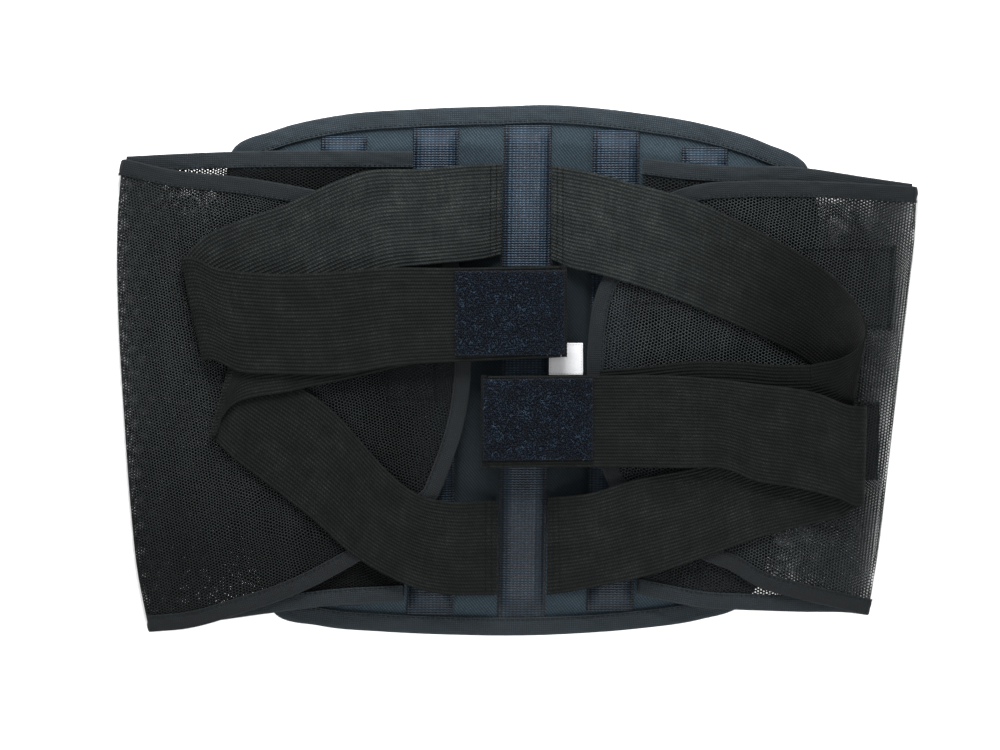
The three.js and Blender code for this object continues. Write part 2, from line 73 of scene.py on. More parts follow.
# ---- sizes, mm ----
ELASTIC = 1.3  # thickness of the elastic
RIBS = 27
RIB_PITCH = 2.05
CLOTH = 0.5  # thickness of net, lining and webbing
WING_LOW, WING_HIGH = 1.5, 9.6
BEND_R = 2.2
BEND_STEPS = 15
FLAP_LOW, FLAP_HIGH = WING_LOW + 2 * BEND_R, 12.4
RISE = {"base": (6, 48), "flap": (3, 48)}  # distance in from the fold where a layer starts and stops rising
TAPE_WIDTH = 9.3
TAPE_HALF = 1.0  # half the thickness of a tape with the cloth in it
PANEL_TAPE = 10.2
PANEL_TAPE_HALF = 1.55
STITCH_IN = 0.86  # where the thread runs, as a share of the tape's width
THREAD_LIFT = 0.82  # from the middle of a taped edge to its thread
PANEL_THREAD_LIFT = 1.36
WEB_PITCH = 1.5
SEAM_STITCH = (2.9, 2.1, 0.36, 0.26)  # pitch, then length, width and height of a stitch
UNDER_STITCH = (3.2, 2.3)
BLACK_STITCH = (2.6, 1.9)
LABEL_STITCH = (1.7, 1.2, 0.22, 0.14)
PANEL_EDGE_Z = 1.7
COVER_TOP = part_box("panel_cover")[1][2] / MM
CHANNEL_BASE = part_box("stay_channel_3")[0][2] / MM + 1.4
CHANNEL_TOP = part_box("stay_channel_3")[1][2] / MM

# ---- edge tables, mm ----
PANEL_SIDES = [  # top, right, low and left edges, clockwise from above
    [(-173.4, 119.1), (-169.8, 131.7), (-145.2, 143.1), (-106.8, 152.1), (-57.6, 156), (-3.6, 157.8), (19.2, 158.4),
     (44.4, 156.9), (73.2, 153.6), (111, 147.3), (149.4, 135.6), (174.6, 121.5), (177.6, 113.7)],
    [(177.6, 113.7), (180, 101.7), (172.2, 23.7), (157.2, -66.3), (144.6, -129.3), (139.8, -137.1)],
    [(139.8, -137.1), (133.2, -142.5), (111, -149.5), (73.2, -155.1), (34.8, -158.1), (-3.6, -159.3), (-39.6, -158.7),
     (-79.8, -156.9), (-118.2, -153.3), (-145.2, -145.5), (-149.4, -138.3)],
    [(-149.4, -138.3), (-151.8, -129.3), (-161.4, -66.3), (-170.4, 23.7), (-174, 104.7), (-173.4, 119.1)],
]
CHANNELS = [  # centre x at the top and low ends, width, top y, low y
    (-103.2, -107.4, 27.6, 140.1, -141.9),
    (-48, -51.9, 27.6, 144.9, -147.3),
    (7.2, 3, 28.8, 146.7, -149.1),
    (60.3, 56.4, 28.2, 143.7, -144.9),
    (113.4, 109.2, 27.6, 133.5, -136.5),
]
WINGS = {
    "left": {
        "fold": [(-241.2, 126.3), (-226.8, -155.1)],
        "baseTop": [(-234, 127.5), (-201.6, 129), (-159.6, 130.5), (-61.8, 130.5)],
        "baseLow": [(-218.4, -155.1), (-189.6, -151.5), (-150.6, -146.1), (-111.6, -141.3), (-67.2, -138.6)],
        "flapTop": [(-234, 125.7), (-204.6, 119.1), (-160.8, 114.3), (-117.6, 106.5), (-69.6, 94.5), (-38.4, 77.7)],
        "flapLow": [(-217.8, -156.9), (-198.6, -155.1), (-165.6, -146.1), (-135.6, -135.9), (-111.6, -124.5),
            (-94.8, -114.9), (-69.6, -96.3), (-47.4, -77.1)],
        "end": [(-38.4, 77.7), (-31.2, 47.7), (-27.6, 17.7), (-28.2, -9.3), (-32.4, -35.1), (-39.6, -57.3),
            (-47.4, -77.1)],
        "edge": [(-236.6, 95.7), (-237.2, 68.7), (-236, 22.5), (-233, -27.3), (-228.8, -84.3), (-225, -120.3)],
        "patches": [
            ("closure_patch", [(-78.6, 47.7), (-46.8, 47.7), (-46.8, -21.3), (-78.6, -21.3)]),
        ],
    },
    "right": {
        "fold": [(240.6, 110.7), (211.2, -147.3)],
        "baseTop": [(238.2, 111), (206.4, 115.5), (169.2, 120.9), (126, 121.8), (102.6, 123.3), (76.2, 126.3)],
        "baseLow": [(208.8, -146.7), (202.2, -145.8), (170.4, -144.9), (135, -143.7), (118.8, -143.1),
            (72.6, -134.7)],
        "flapTop": [(238.2, 109.5), (206.4, 111.3), (169.2, 112.8), (132.6, 112.5), (114, 111.3), (102.6, 108.9),
            (86.4, 102.9), (67.2, 92.1)],
        "flapLow": [(208.8, -146.7), (194.4, -143.1), (169.2, -137.1), (144, -129.3), (129, -120.3), (111, -113.1),
            (83.4, -93.3), (57, -71.7)],
        "end": [(67.2, 92.1), (55.2, 62.7), (47.4, 41.7), (43.8, 18.3), (43.2, -3.3), (45, -30.3), (50.4, -55.5),
            (57, -71.7)],
        "edge": [(237, 80.7), (233.4, 47.7), (229.2, 11.7), (225, -24.3), (220.2, -66.3), (214.8, -111.3)],
        "patches": [
            ("landing_patch_upper", [(170.4, 74.7), (228.6, 74.7), (226.2, 23.7), (170.4, 23.7)]),
            ("landing_patch_lower", [(205.2, -19.5), (218.4, -19.5), (217.2, -66.3), (204, -66.3)]),
            ("closure_patch", [(78, 75.3), (104.4, 75.3), (104.4, 38.1), (69.6, 38.1)]),
        ],
    },
}
# Bands: rows of the upper and the lower edge point in plan, then their heights where these are not the level
STATIC_LEVEL = 14.6
STATIC_BANDS = {
    "upper_left_band": [(-8.1, 123.9, -9, 68.7, 7.2), (-18.6, 123.3, -18.6, 66.3, 11), (-26.4, 123, -26.4, 65.1),
        (-57.6, 120.3, -51.6, 62.7), (-89.4, 119.1, -78.6, 59.1), (-107.4, 113.1, -99.6, 51.3),
        (-139.2, 98.7, -129.6, 37.5), (-168.6, 88.5, -152.4, 26.1), (-189.6, 77.7, -174.6, 12.3),
        (-198.6, 67.5, -185.4, 5.7)],
    "lower_left_band": [(-10.9, -78.3, -11.6, -135.3, 7.2), (-21.6, -78.9, -21.6, -135.3, 11),
        (-33.6, -79.5, -36.6, -135.3), (-54.6, -76.5, -60.6, -131.1), (-66.6, -69.9, -81.6, -121.5),
        (-79.2, -58.5, -100.8, -108.9), (-92.4, -43.5, -118.8, -92.7), (-114.6, -20.7, -152.4, -66.3),
        (-141.6, -2.1, -170.4, -52.5), (-167.4, 13.5, -182.4, -40.5)],
    "upper_right_band": [(21.8, 122.7, 21.2, 65.7, 7.2), (32.4, 120.9, 32.4, 60.9, 11), (44.4, 118.5, 43.2, 58.5),
        (74.4, 110.7, 65.4, 52.5), (104.4, 102.3, 93.6, 42.9), (137.4, 87.3, 123.6, 30.3, 14.8, 14.6),
        (164.4, 72.9, 147.6, 19.5, 17, 14.6), (189, 56.1, 172.2, 6.9, 27, 14.8), (200.4, 42.9, 186, -3.3, 40, 15.5),
        (207, 30.9, 196.2, -9.3, 52, 16.3), (208.5, 21.9, 201, -17.1, 56, 17), (204.6, 13.5, 201, -29.1, 46, 17),
        (194.4, 6.9, 195.6, -42.3, 31, 17), (176.4, 2.8, 177.6, -51.3, 26, 17)],
    "lower_right_band": [(19.3, -76.5, 18.6, -135.3, 7.2), (29.4, -75.9, 31.2, -133.5, 11),
        (41.4, -74.7, 44.4, -131.1), (74.4, -65.1, 80.4, -123.3), (110.4, -57.9, 111, -113.1),
        (135.6, -47.7, 150.6, -99.3), (164.4, -39.9, 177.6, -92.7), (191.4, -29.1, 197.4, -86.7),
        (203.4, -21.9, 204.6, -81.9)],
}
RETURN_BANDS = {  # folded-back runs: fold line with its two heights, where the motion blends, rows
    "left_pull_strap": {
        "fold": [(-198.6, 67.5, 14.6, 19.4), (-185.4, 5.7, 14.6, 19.4)],
        "blend": ((-194, 40, 14.9), (-194, 40, 18.3)),
        "level": 19.4,
        "rows": [(-179.4, 60.9, -165.6, -1.5), (-156, 57.9, -144.6, -2.7), (-117.6, 57.9, -105, -2.7),
            (-77.4, 60.9, -69.6, 2.4), (-36.6, 60.9, -33.6, 4.5), (26.8, 62.1, 26.8, 7.3)],
    },
    "left_under_strap": {
        "fold": [(-167.4, 13.5, 14.6, 17), (-182.4, -40.5, 14.6, 17)],
        "blend": ((-180, -10, 14.9), (-180, -10, 16)),
        "level": 17,
        "rows": [(-162.6, 24.9, -177, -30.3), (-157.2, 35.7, -170.4, -21.9), (-133.8, 42.9, -133.8, -12.9),
            (-92.4, 51.9, -92.4, -3.9), (-66.6, 57.9, -66.6, 2.1), (-42.6, 59.7, -42.6, 5.7)],
    },
    "right_pull_strap": {
        "fold": [(203.4, -21.9, 14.6, 27.5), (204.6, -81.9, 14.6, 22)],
        "blend": ((204, -52, 15), (204, -52, 18.3)),
        "level": 19.4,
        "rows": [(181.8, -14.7, 194.4, -77.7, 27.5, 21.5), (164.4, -11.1, 169.2, -71.1, 26.5, 20.5),
            (144, -8.7, 144, -66.9, 24, 19.6), (125.4, -6.3, 125.4, -59.7, 21, 19.4), (99.6, -3.9, 99.6, -59.1),
            (47.4, -3.6, 47.4, -58.5), (-17, -3.9, -17, -59.1)],
    },
    "right_under_strap": {
        "fold": None,
        "blend": ((176, -30, 20), (120, -30, 20)),
        "level": 17,
        "rows": [(176.6, 2.8, 177.8, -51.3, 26.05, 17), (156.6, 2.7, 156.6, -52.5, 22.5, 17),
            (134.4, 4.5, 134.4, -50.7, 19, 17), (110.4, 5.1, 110.4, -50.1), (68.4, 0.9, 68.4, -51.9),
            (50.4, -0.3, 50.4, -53.1)],
    },
}
HOOKS = {
    "left": [(-36.9, 59.1), (29.4, 59.4), (29.4, 9), (-36.3, 8.1)],
    "right": [(-20, -5.7), (46.2, -5.1), (46.2, -54), (-20, -54.6)],
}
LABEL = [(19.8, 15.9), (40.2, 15.9), (40.2, -3.3), (19.8, -3.3)]

# ---- numbers ----
def smooth(t):
    t = np.clip(t, 0, 1)
    return t * t * (3 - 2 * t)


def noise(x, y, scale, seed=0, octaves=3):
    """Smooth repeatable noise from -1 to 1, made of a few rotated sine waves."""
    r = np.random.default_rng(seed)
    out = 0.0
    total = 0.0
    for o in range(octaves):
        for _ in range(4):
            a, p, q = r.uniform(0, tau, 3)
            f = tau * (1.7**o) / scale * r.uniform(0.7, 1.3)
            w = 0.62**o
            out = out + w * np.sin(f * (x * cos(a) + y * sin(a)) + p + 1.3 * np.sin(f * 0.37 * y + q))
            total += w
    return out / total * 1.6


def path_length(p):
    """Distance from the start at each point of a path."""
    return np.r_[0, np.cumsum(norm(np.diff(p, axis=0), axis=1))]


def sampled(p, d, at):
    """The rows of p, which are at distances d, read off at other distances."""
    return np.stack([np.interp(at, d, p[:, c]) for c in range(p.shape[1])], 1)


def hermite(p, d, at):
    """The smooth curve through the rows of p, which are at distances d, read off at other distances."""
    m = np.gradient(p, d, axis=0)
    k = np.clip(np.searchsorted(d, at, side="right") - 1, 0, len(d) - 2)
    h = (d[k + 1] - d[k])[:, None]
    s = (at - d[k])[:, None] / h
    return ((2 * s**3 - 3 * s**2 + 1) * p[k] + (s**3 - 2 * s**2 + s) * h * m[k]
            + (-2 * s**3 + 3 * s**2) * p[k + 1] + (s**3 - s**2) * h * m[k + 1])


def curve(points, n):
    """n + 1 points at even steps along a smooth curve through the given ones."""
    p = np.asarray(points, float)
    d = path_length(p)
    if len(p) > 2:
        p = hermite(p, d, np.linspace(0, d[-1], 12 * len(p) + 1))
        d = path_length(p)
    return sampled(p, d, np.linspace(0, d[-1], n + 1))


def grid_normals(g):
    n = np.cross(np.gradient(g, axis=0), np.gradient(g, axis=1))
    return n / np.maximum(norm(n, axis=2, keepdims=True), 1e-9)


def flat_coordinates(g):
    """How far each point of a grid lies along it and across it, in mm, as if it were unrolled."""
    u = np.cumsum(np.r_[np.zeros((1, g.shape[1])), norm(np.diff(g, axis=0), axis=2)], axis=0)
    v = np.cumsum(np.c_[np.zeros((g.shape[0], 1)), norm(np.diff(g, axis=1), axis=2)], axis=1)
    return np.stack([u, v - v[:, -1:] / 2], 2)


def cloth_area(g):
    a = np.cross(g[1:, :-1] - g[:-1, :-1], g[1:, 1:] - g[:-1, :-1])
    b = np.cross(g[1:, 1:] - g[:-1, :-1], g[:-1, 1:] - g[:-1, :-1])
    return (norm(a, axis=2).sum() + norm(b, axis=2).sum()) / 2


def upward(n):
    return np.tile([0.0, 0.0, 1.0], (n, 1))


# ---- meshes ----
def linked(name, data):
    obj = bpy.data.objects.new(name, data)
    bpy.context.scene.collection.objects.link(obj)
    return obj


def make(name, points, faces, uvs, material):
    """A mesh object from points in mm. uvs gives one pair for each point, in mm."""
    mesh = bpy.data.meshes.new(name)
    mesh.from_pydata((np.asarray(points) * MM).tolist(), [], [list(map(int, f)) for f in faces])
    if uvs is not None:
        layer = mesh.uv_layers.new(name="flat_mm")
        loops = np.zeros(len(mesh.loops), int)
        mesh.loops.foreach_get("vertex_index", loops)
        layer.data.foreach_set("uv", np.asarray(uvs, float)[loops].ravel())
    mesh.polygons.foreach_set("use_smooth", [True] * len(mesh.polygons))
    mesh.materials.append(material)
    mesh.validate()
    bm = bmesh.new()
    bm.from_mesh(mesh)
    bmesh.ops.recalc_face_normals(bm, faces=bm.faces)
    bm.to_mesh(mesh)
    bm.free()
    return linked(name, mesh)


def grid_faces(n, m, start=0):
    i, j = np.meshgrid(np.arange(n - 1), np.arange(m - 1), indexing="ij")
    a = (start + i * m + j).ravel()
    return np.stack([a, a + m, a + m + 1, a + 1], 1)


def shell(name, top, low, uv, material):
    """A closed mesh between an upper and a lower grid."""
    n, m = top.shape[:2]
    k = n * m
    rim = [(0, j) for j in range(m)] + [(i, m - 1) for i in range(1, n)]
    rim += [(n - 1, j) for j in range(m - 2, -1, -1)] + [(i, 0) for i in range(n - 2, 0, -1)]
    ring = [a * m + b for a, b in rim]
    walls = [(p, q, q + k, p + k) for p, q in zip(ring, ring[1:] + ring[:1])]
    faces = [*grid_faces(n, m), *grid_faces(n, m, k)[:, ::-1], *walls]
    uvs = np.r_[uv.reshape(-1, 2), uv.reshape(-1, 2)]
    return make(name, np.r_[top.reshape(-1, 3), low.reshape(-1, 3)], faces, uvs, material)


def thick(name, g, thickness, material, relief=0.0, uv=None):
    """A closed sheet about a middle grid. relief is added to both faces' offsets."""
    offset = grid_normals(g) * (thickness / 2 + relief + 0 * g[..., 0])[..., None]
    return shell(name, g + offset, g - offset, flat_coordinates(g) if uv is None else uv, material)


def swept(name, rings, uvs, material, closed=False):
    """A tube through rings of points, capped at open ends."""
    n, k = rings.shape[:2]
    i, j = (v.ravel() for v in np.meshgrid(np.arange(n if closed else n - 1), np.arange(k), indexing="ij"))
    ahead, beside = (i + 1) % n * k, (j + 1) % k
    faces = list(np.stack([i * k + j, i * k + beside, ahead + beside, ahead + j], 1))
    if not closed:
        for base in (0, (n - 1) * k):
            faces += [(base + s, base + s + 1, base + k - 2 - s, base + k - 1 - s) for s in range(k // 2 - 1)]
    return make(name, rings.reshape(-1, 3), faces, uvs.reshape(-1, 2), material)


def bar_faces(base):
    """Faces of a closed bar of five rings of four points."""
    sides = [(base + 4 * r + k, base + 4 * r + (k + 1) % 4) for r in range(4) for k in range(4)]
    ends = [(b, b + 1, b + 2, b + 3) for b in (base, base + 16)]
    return [(a, b, b + 4, a + 4) for a, b in sides] + ends


def plan_normals(path):
    """Unit normals in plan, to the left of a path."""
    t = np.gradient(path, axis=0)
    t = t[:, :2] / norm(t[:, :2], axis=1, keepdims=True)
    return np.stack([-t[:, 1], t[:, 0]], 1)


def stitches(line, normals, material, pitch=3.0, long=2.2, wide=0.42, high=0.32):
    """A row of thread stitches lying along a line of points, each a short rounded bar."""
    line = np.asarray(line, float)
    d = path_length(line)
    points, faces = [], []
    at = pitch * 0.6
    while at < d[-1] - pitch * 0.6:
        p, q = sampled(line, d, [at - long / 2, at + long / 2])
        n = sampled(normals, d, [at])[0]
        n /= norm(n)
        t = (q - p) / norm(q - p)
        s = np.cross(n, t)
        faces += bar_faces(len(points))
        for f, w, h in ((0, 0.35, -0.25), (0.2, 1, 0.75), (0.5, 1.1, 1), (0.8, 1, 0.75), (1, 0.35, -0.25)):
            c = p + (q - p) * f + n * high * h
            points += [c + s * wide / 2 * w, c + n * high * 0.45 * w, c - s * wide / 2 * w, c - n * high * 0.5 * w]
        at += pitch
    return make("stitches", points, faces, None, material)


# ---- materials ----
class Nodes:
    """A short way to write a material's node tree."""

    def __init__(self, name):
        self.material = bpy.data.materials.new(name)
        self.material.use_nodes = True
        self.tree = self.material.node_tree
        self.tree.nodes.clear()
        self.out = self.tree.nodes.new("ShaderNodeOutputMaterial")

    def put(self, kind, inputs=None, **settings):
        node = self.tree.nodes.new("ShaderNode" + kind)
        for key, value in settings.items():
            setattr(node, key, value)
        for key, value in (inputs or {}).items():
            if isinstance(value, bpy.types.NodeSocket):
                self.tree.links.new(value, node.inputs[key])
            else:
                node.inputs[key].default_value = value
        return node

    def math(self, operation, a, b=0.0):
        return self.put("Math", {0: a, 1: b}, operation=operation).outputs[0]

    def total(self, *terms, plus=0.0):
        """The sum of values, each times its weight, and a constant."""
        for value, weight in terms:
            plus = self.put("Math", {0: value, 1: weight, 2: plus}, operation="MULTIPLY_ADD").outputs[0]
        return plus

    def flat(self):
        """The flat coordinates, in mm: along and across."""
        uv = self.put("UVMap", uv_map="flat_mm").outputs[0]
        xyz = self.put("SeparateXYZ", {0: uv})
        return uv, xyz.outputs[0], xyz.outputs[1]

    def object_mm(self):
        """Object coordinates in mm."""
        return self.scaled(self.put("TexCoord").outputs["Object"], 1000, 1000, 1000)

    def wave(self, value, pitch, phase=0.0):
        """From 0 to 1 and back over each pitch."""
        angle = self.total((value, tau / pitch), plus=phase)
        return self.total((self.math("SINE", angle), 0.5), plus=0.5)

    def noise(self, vector, x, y, detail=3.0, rough=0.6, z=1.0):
        inputs = {"Vector": self.scaled(vector, x, y, z), "Scale": 1.0, "Detail": detail, "Roughness": rough}
        return self.put("TexNoise", inputs).outputs[0]

    def scaled(self, vector, x, y, z=1.0, turn=0.0):
        return self.put("Mapping", {"Vector": vector, "Scale": (x, y, z), "Rotation": (0, 0, turn)}).outputs[0]

    def dyed(self, fac, gain, *stops):
        """A colour ramp from places and 8-bit colours. gain makes them darker in linear light."""
        node = self.put("ValToRGB", {0: fac})
        ramp = node.color_ramp
        while len(ramp.elements) < len(stops):
            ramp.elements.new(0.5)
        for e, (p, c) in zip(ramp.elements, stops):
            e.position = p
            e.color = (*((v / 255) ** 2.2 * gain for v in c), 1)
        return node.outputs[0]

    def span(self, value, a, b, c, d):
        return self.put("MapRange", {0: value, 1: a, 2: b, 3: c, 4: d}).outputs[0]

    def shaded(self, colour, value, a, b, c, d):
        """The colour, taken from c to d as the value goes from a to b."""
        scale = self.span(value, a, b, c, d)
        return self.put("VectorMath", {0: colour, "Scale": scale}, operation="SCALE").outputs[0]

    def height_in_plan(self):
        """Y in mm, for the painted shade that makes a cloth darker towards one end."""
        return self.put("SeparateXYZ", {0: self.object_mm()}).outputs[1]

    def bump(self, height, distance, strength):
        return self.put("Bump", {"Height": height, "Distance": distance, "Strength": strength}).outputs[0]

    def finish(self, colour, rough, normal, gloss, sheen=0.0, **more):
        inputs = {"Base Color": colour, "Roughness": rough, "Specular IOR Level": gloss, "Sheen Weight": sheen,
                  "Sheen Roughness": 0.5, **more}
        if normal is not None:
            inputs["Normal"] = normal
        shader = self.put("BsdfPrincipled", inputs)
        self.tree.links.new(shader.outputs[0], self.out.inputs[0])
        return self.material


def elastic_material(name, gain, painted_shade_far=1.0):
    n = Nodes(name)
    uv, u, v = n.flat()
    rib = n.wave(v, RIB_PITCH, pi / 2)
    pick = n.math("MULTIPLY", n.wave(n.total((u, 1), (v, 0.5)), 1.6), rib)
    fuzz = n.noise(uv, 0.62, 0.8, 4, 0.75)
    patchy = n.noise(uv, 0.045, 0.07)
    yarn = n.noise(uv, 0.12, 1.9)
    stripe = n.noise(uv, 0.5, 0.04, 2)
    tone = n.total((rib, 0.07), (pick, 0.16), (fuzz, 0.52), (yarn, 0.2), (patchy, 0.3), (stripe, 0.14), plus=-0.22)
    colour = n.dyed(tone, gain, (0.12, (8, 10, 10)), (0.38, (30, 33, 33)), (0.58, (50, 54, 53)),
                    (0.88, (104, 110, 106)))
    # Painted shade: the colour darkens along the band, from 55 to 150 mm, where the band turns away from the light.
    colour = n.shaded(colour, u, 55.0, 150.0, 1.0, painted_shade_far)
    bump = n.bump(n.total((rib, 0.4), (pick, 0.6), (fuzz, 0.7)), 0.0003, 0.9)
    return n.finish(colour, n.span(fuzz, 0.3, 0.7, 0.66, 0.92), bump, 0.05, 0.015)


def webbing_material(gain):
    n = Nodes("webbing_satin")
    uv, u, v = n.flat()
    fine = n.wave(v, 2.2)
    rib = n.wave(n.total((u, 1), (fine, 0.35)), WEB_PITCH)
    knot = n.math("MULTIPLY", rib, fine)
    fuzz = n.noise(uv, 0.8, 0.5, 4, 0.75)
    streak = n.noise(uv, 1.3, 0.09)
    patchy = n.noise(uv, 0.03, 0.12, 2)
    edge = n.math("ABSOLUTE", v)
    # Painted shade: the tone darkens along the stitched seam line and at the webbing's edges, where it meets the
    # panel.
    seam_painted_shade = n.math("MULTIPLY", n.span(edge, 11.2, 11.6, 0.0, 1.0), n.span(edge, 12.0, 12.4, 1.0, 0.0))
    edge_painted_shade = n.span(edge, 12.9, 13.5, 0.0, 1.6)
    tone = n.total((knot, 0.24), (rib, 0.22), (fuzz, 0.52), (streak, 0.16), (patchy, 0.3), (seam_painted_shade, -0.2),
                   (edge_painted_shade, -0.2), plus=-0.24)
    colour = n.dyed(tone, gain, (0.12, (12, 20, 30)), (0.4, (38, 56, 74)), (0.58, (60, 84, 104)),
                    (0.82, (116, 142, 162)))
    # Painted shade: the webbing darkens towards the low end, away from the key light.
    colour = n.shaded(colour, n.height_in_plan(), -100.0, 60.0, 0.5, 1.0)
    bump = n.bump(n.total((rib, 0.6), (knot, 0.6), (fuzz, 0.4)), 0.0003, 0.9)
    return n.finish(colour, n.span(streak, 0.3, 0.7, 0.5, 0.7), bump, 0.14, 0.03, **{"Sheen Roughness": 0.4})


def twill_material(name, gain, dark, mid, light, pitch=1.9, middle=1.0):
    n = Nodes(name)
    uv, u, v = n.flat()
    diagonal = n.wave(n.total((u, 1), (v, 0.8)), pitch)
    knot = n.math("MULTIPLY", diagonal, n.wave(n.total((v, 1), (u, -0.6)), 1.7))
    fuzz = n.noise(uv, 0.6, 0.7, 4, 0.75)
    speck = n.noise(uv, 0.9, 0.3, 3, 0.7)
    patchy = n.noise(uv, 0.035, 0.035)
    tone = n.total((diagonal, 0.16), (knot, 0.16), (fuzz, 0.46), (speck, 0.22), (patchy, 0.22), plus=-0.11)
    colour = n.dyed(tone, gain, (0.15, dark), (0.5, mid), (0.85, light))
    # Painted shade: the panel cloth darkens to the middle share in its middle, where the wings shade it; the lining
    # keeps 1.
    colour = n.shaded(colour, n.math("ABSOLUTE", n.height_in_plan()), 75.0, 115.0, middle, 1.0)
    bump = n.bump(n.total((diagonal, 0.5), (fuzz, 0.7)), 0.00028, 0.8)
    return n.finish(colour, n.span(fuzz, 0.3, 0.7, 0.75, 0.95), bump, 0.08, 0.02)


def tape_material(name, gain, low=1.0):
    n = Nodes(name)
    uv, u, v = n.flat()
    knot = n.math("MULTIPLY", n.wave(u, 1.3), n.wave(v, 1.2))
    fuzz = n.noise(uv, 0.6, 0.9, 4, 0.75)
    patchy = n.noise(uv, 0.05, 0.1)
    tone = n.total((knot, 0.3), (fuzz, 0.62), (patchy, 0.25), plus=-0.125)
    colour = n.dyed(tone, gain, (0.15, (22, 29, 33)), (0.45, (46, 56, 62)), (0.8, (88, 100, 108)))
    # Painted shade: the tape darkens towards the low end, away from the key light.
    colour = n.shaded(colour, n.height_in_plan(), -130.0, 60.0, low, 1.0)
    bump = n.bump(n.total((knot, 0.8), (fuzz, 0.6)), 0.00025, 0.8)
    return n.finish(colour, n.span(fuzz, 0.3, 0.7, 0.72, 0.92), bump, 0.14, 0.05)


def net_material(name, gain, turn, warp, hole, stretch, pitch, low=1.0, closed=0.0):
    """Warp-knit net: holes on a triangular lattice, in the flat coordinates, let through what is behind. Its colour
    holds painted shade towards the low end and far from the fold.
    """
    n = Nodes(name)
    uv, u, _ = n.flat()
    y = n.height_in_plan()
    far = n.span(u, 12.0, 60.0, 0.12, 1.0)
    wobble = n.put("TexNoise", {"Vector": n.scaled(uv, 0.05, 0.05), "Scale": 1.0, "Detail": 2.0})
    shift = n.put("VectorMath", {0: wobble.outputs["Color"], 1: (0.5, 0.5, 0)}, operation="SUBTRACT").outputs[0]
    size = n.put("CombineXYZ", {0: n.math("MULTIPLY", far, warp), 1: n.math("MULTIPLY", far, -warp)}).outputs[0]
    shift = n.put("VectorMath", {0: shift, 1: size}, operation="MULTIPLY").outputs[0]
    p = n.put("VectorMath", {0: uv, 1: shift}, operation="ADD").outputs[0]
    xyz = n.put("SeparateXYZ", {0: n.scaled(p, 1, 1.1, 1, turn)}).outputs
    k = 4 * pi / (sqrt(3) * pitch)
    waves = []
    for a in (0, tau / 3, 4 * pi / 3):
        phase = n.total((xyz[0], k * cos(a)), (xyz[1], k * sin(a)))
        waves.append((n.math("COSINE", phase), 1))
    fuzz = n.noise(uv, 2.2, 2.2)
    loose = n.noise(uv, 0.09, 0.03)
    yarn = n.total(*waves, (fuzz, 0.9), (loose, 0.8), plus=-0.85)
    near_fold = n.span(u, 4.0, 22.0, stretch, 0.0)
    opened = n.total((yarn, 1), (near_fold, 1), (n.span(y, -110.0, -20.0, closed, 0.0), -1))
    alpha = n.span(opened, hole + 0.15, hole - 0.15, 0.0, 1.0)
    tone = n.total((n.span(yarn, -1.5, hole, 0.7, 0.2), 1), (fuzz, 0.34))
    colour = n.dyed(tone, gain, (0.1, (12, 13, 14)), (0.5, (38, 41, 42)), (0.95, (92, 98, 100)))
    # Painted shade: the net darkens towards the low end, away from the key light, and far from the fold, where it
    # lies in the wings' shade over the panel.
    colour = n.shaded(colour, y, -110.0, -20.0, low, 1.0)
    colour = n.shaded(colour, u, 90.0, 150.0, 1.0, low)
    bump = n.bump(n.math("MULTIPLY", yarn, -1.0), 0.0004, 0.7)
    return n.finish(colour, n.span(fuzz, 0.3, 0.7, 0.55, 0.85), bump, 0.03, 0.006, Alpha=alpha)


def pile_material(name, gain, dark, mid, light, scale=1.1):
    """Hook or loop pile: fine grain, real tone with painted sparkle in its light specks."""
    n = Nodes(name)
    v = n.object_mm()
    grain = n.put("TexVoronoi", {"Vector": v, "Scale": scale}).outputs["Distance"]
    fuzz = n.noise(v, 2.2, 2.2, 4, 0.7, 2.2)
    patchy = n.noise(v, 0.12, 0.12, z=0.12)
    tone = n.total((grain, 0.5), (fuzz, 0.6), (patchy, 0.3), plus=-0.15)
    bump = n.bump(n.math("ADD", grain, fuzz), 0.0006, 1.0)
    colour = n.dyed(tone, gain, (0.3, dark), (0.6, mid), (0.9, light))
    return n.finish(colour, n.span(fuzz, 0.35, 0.65, 0.45, 0.8), bump, 0.1, 0.01)


def plain_material(name, dark, light, rough, metal=0.0, scale=1.5, gain=0.33, gloss=0.4):
    n = Nodes(name)
    fuzz = n.noise(n.object_mm(), scale, scale, 4, z=scale)
    tint = n.dyed(fuzz, gain, (0.3, dark), (0.7, light))
    rough = n.span(fuzz, 0.3, 0.7, rough - 0.08, rough + 0.08)
    return n.finish(tint, rough, n.bump(fuzz, 0.0001, 0.6), gloss, Metallic=metal)


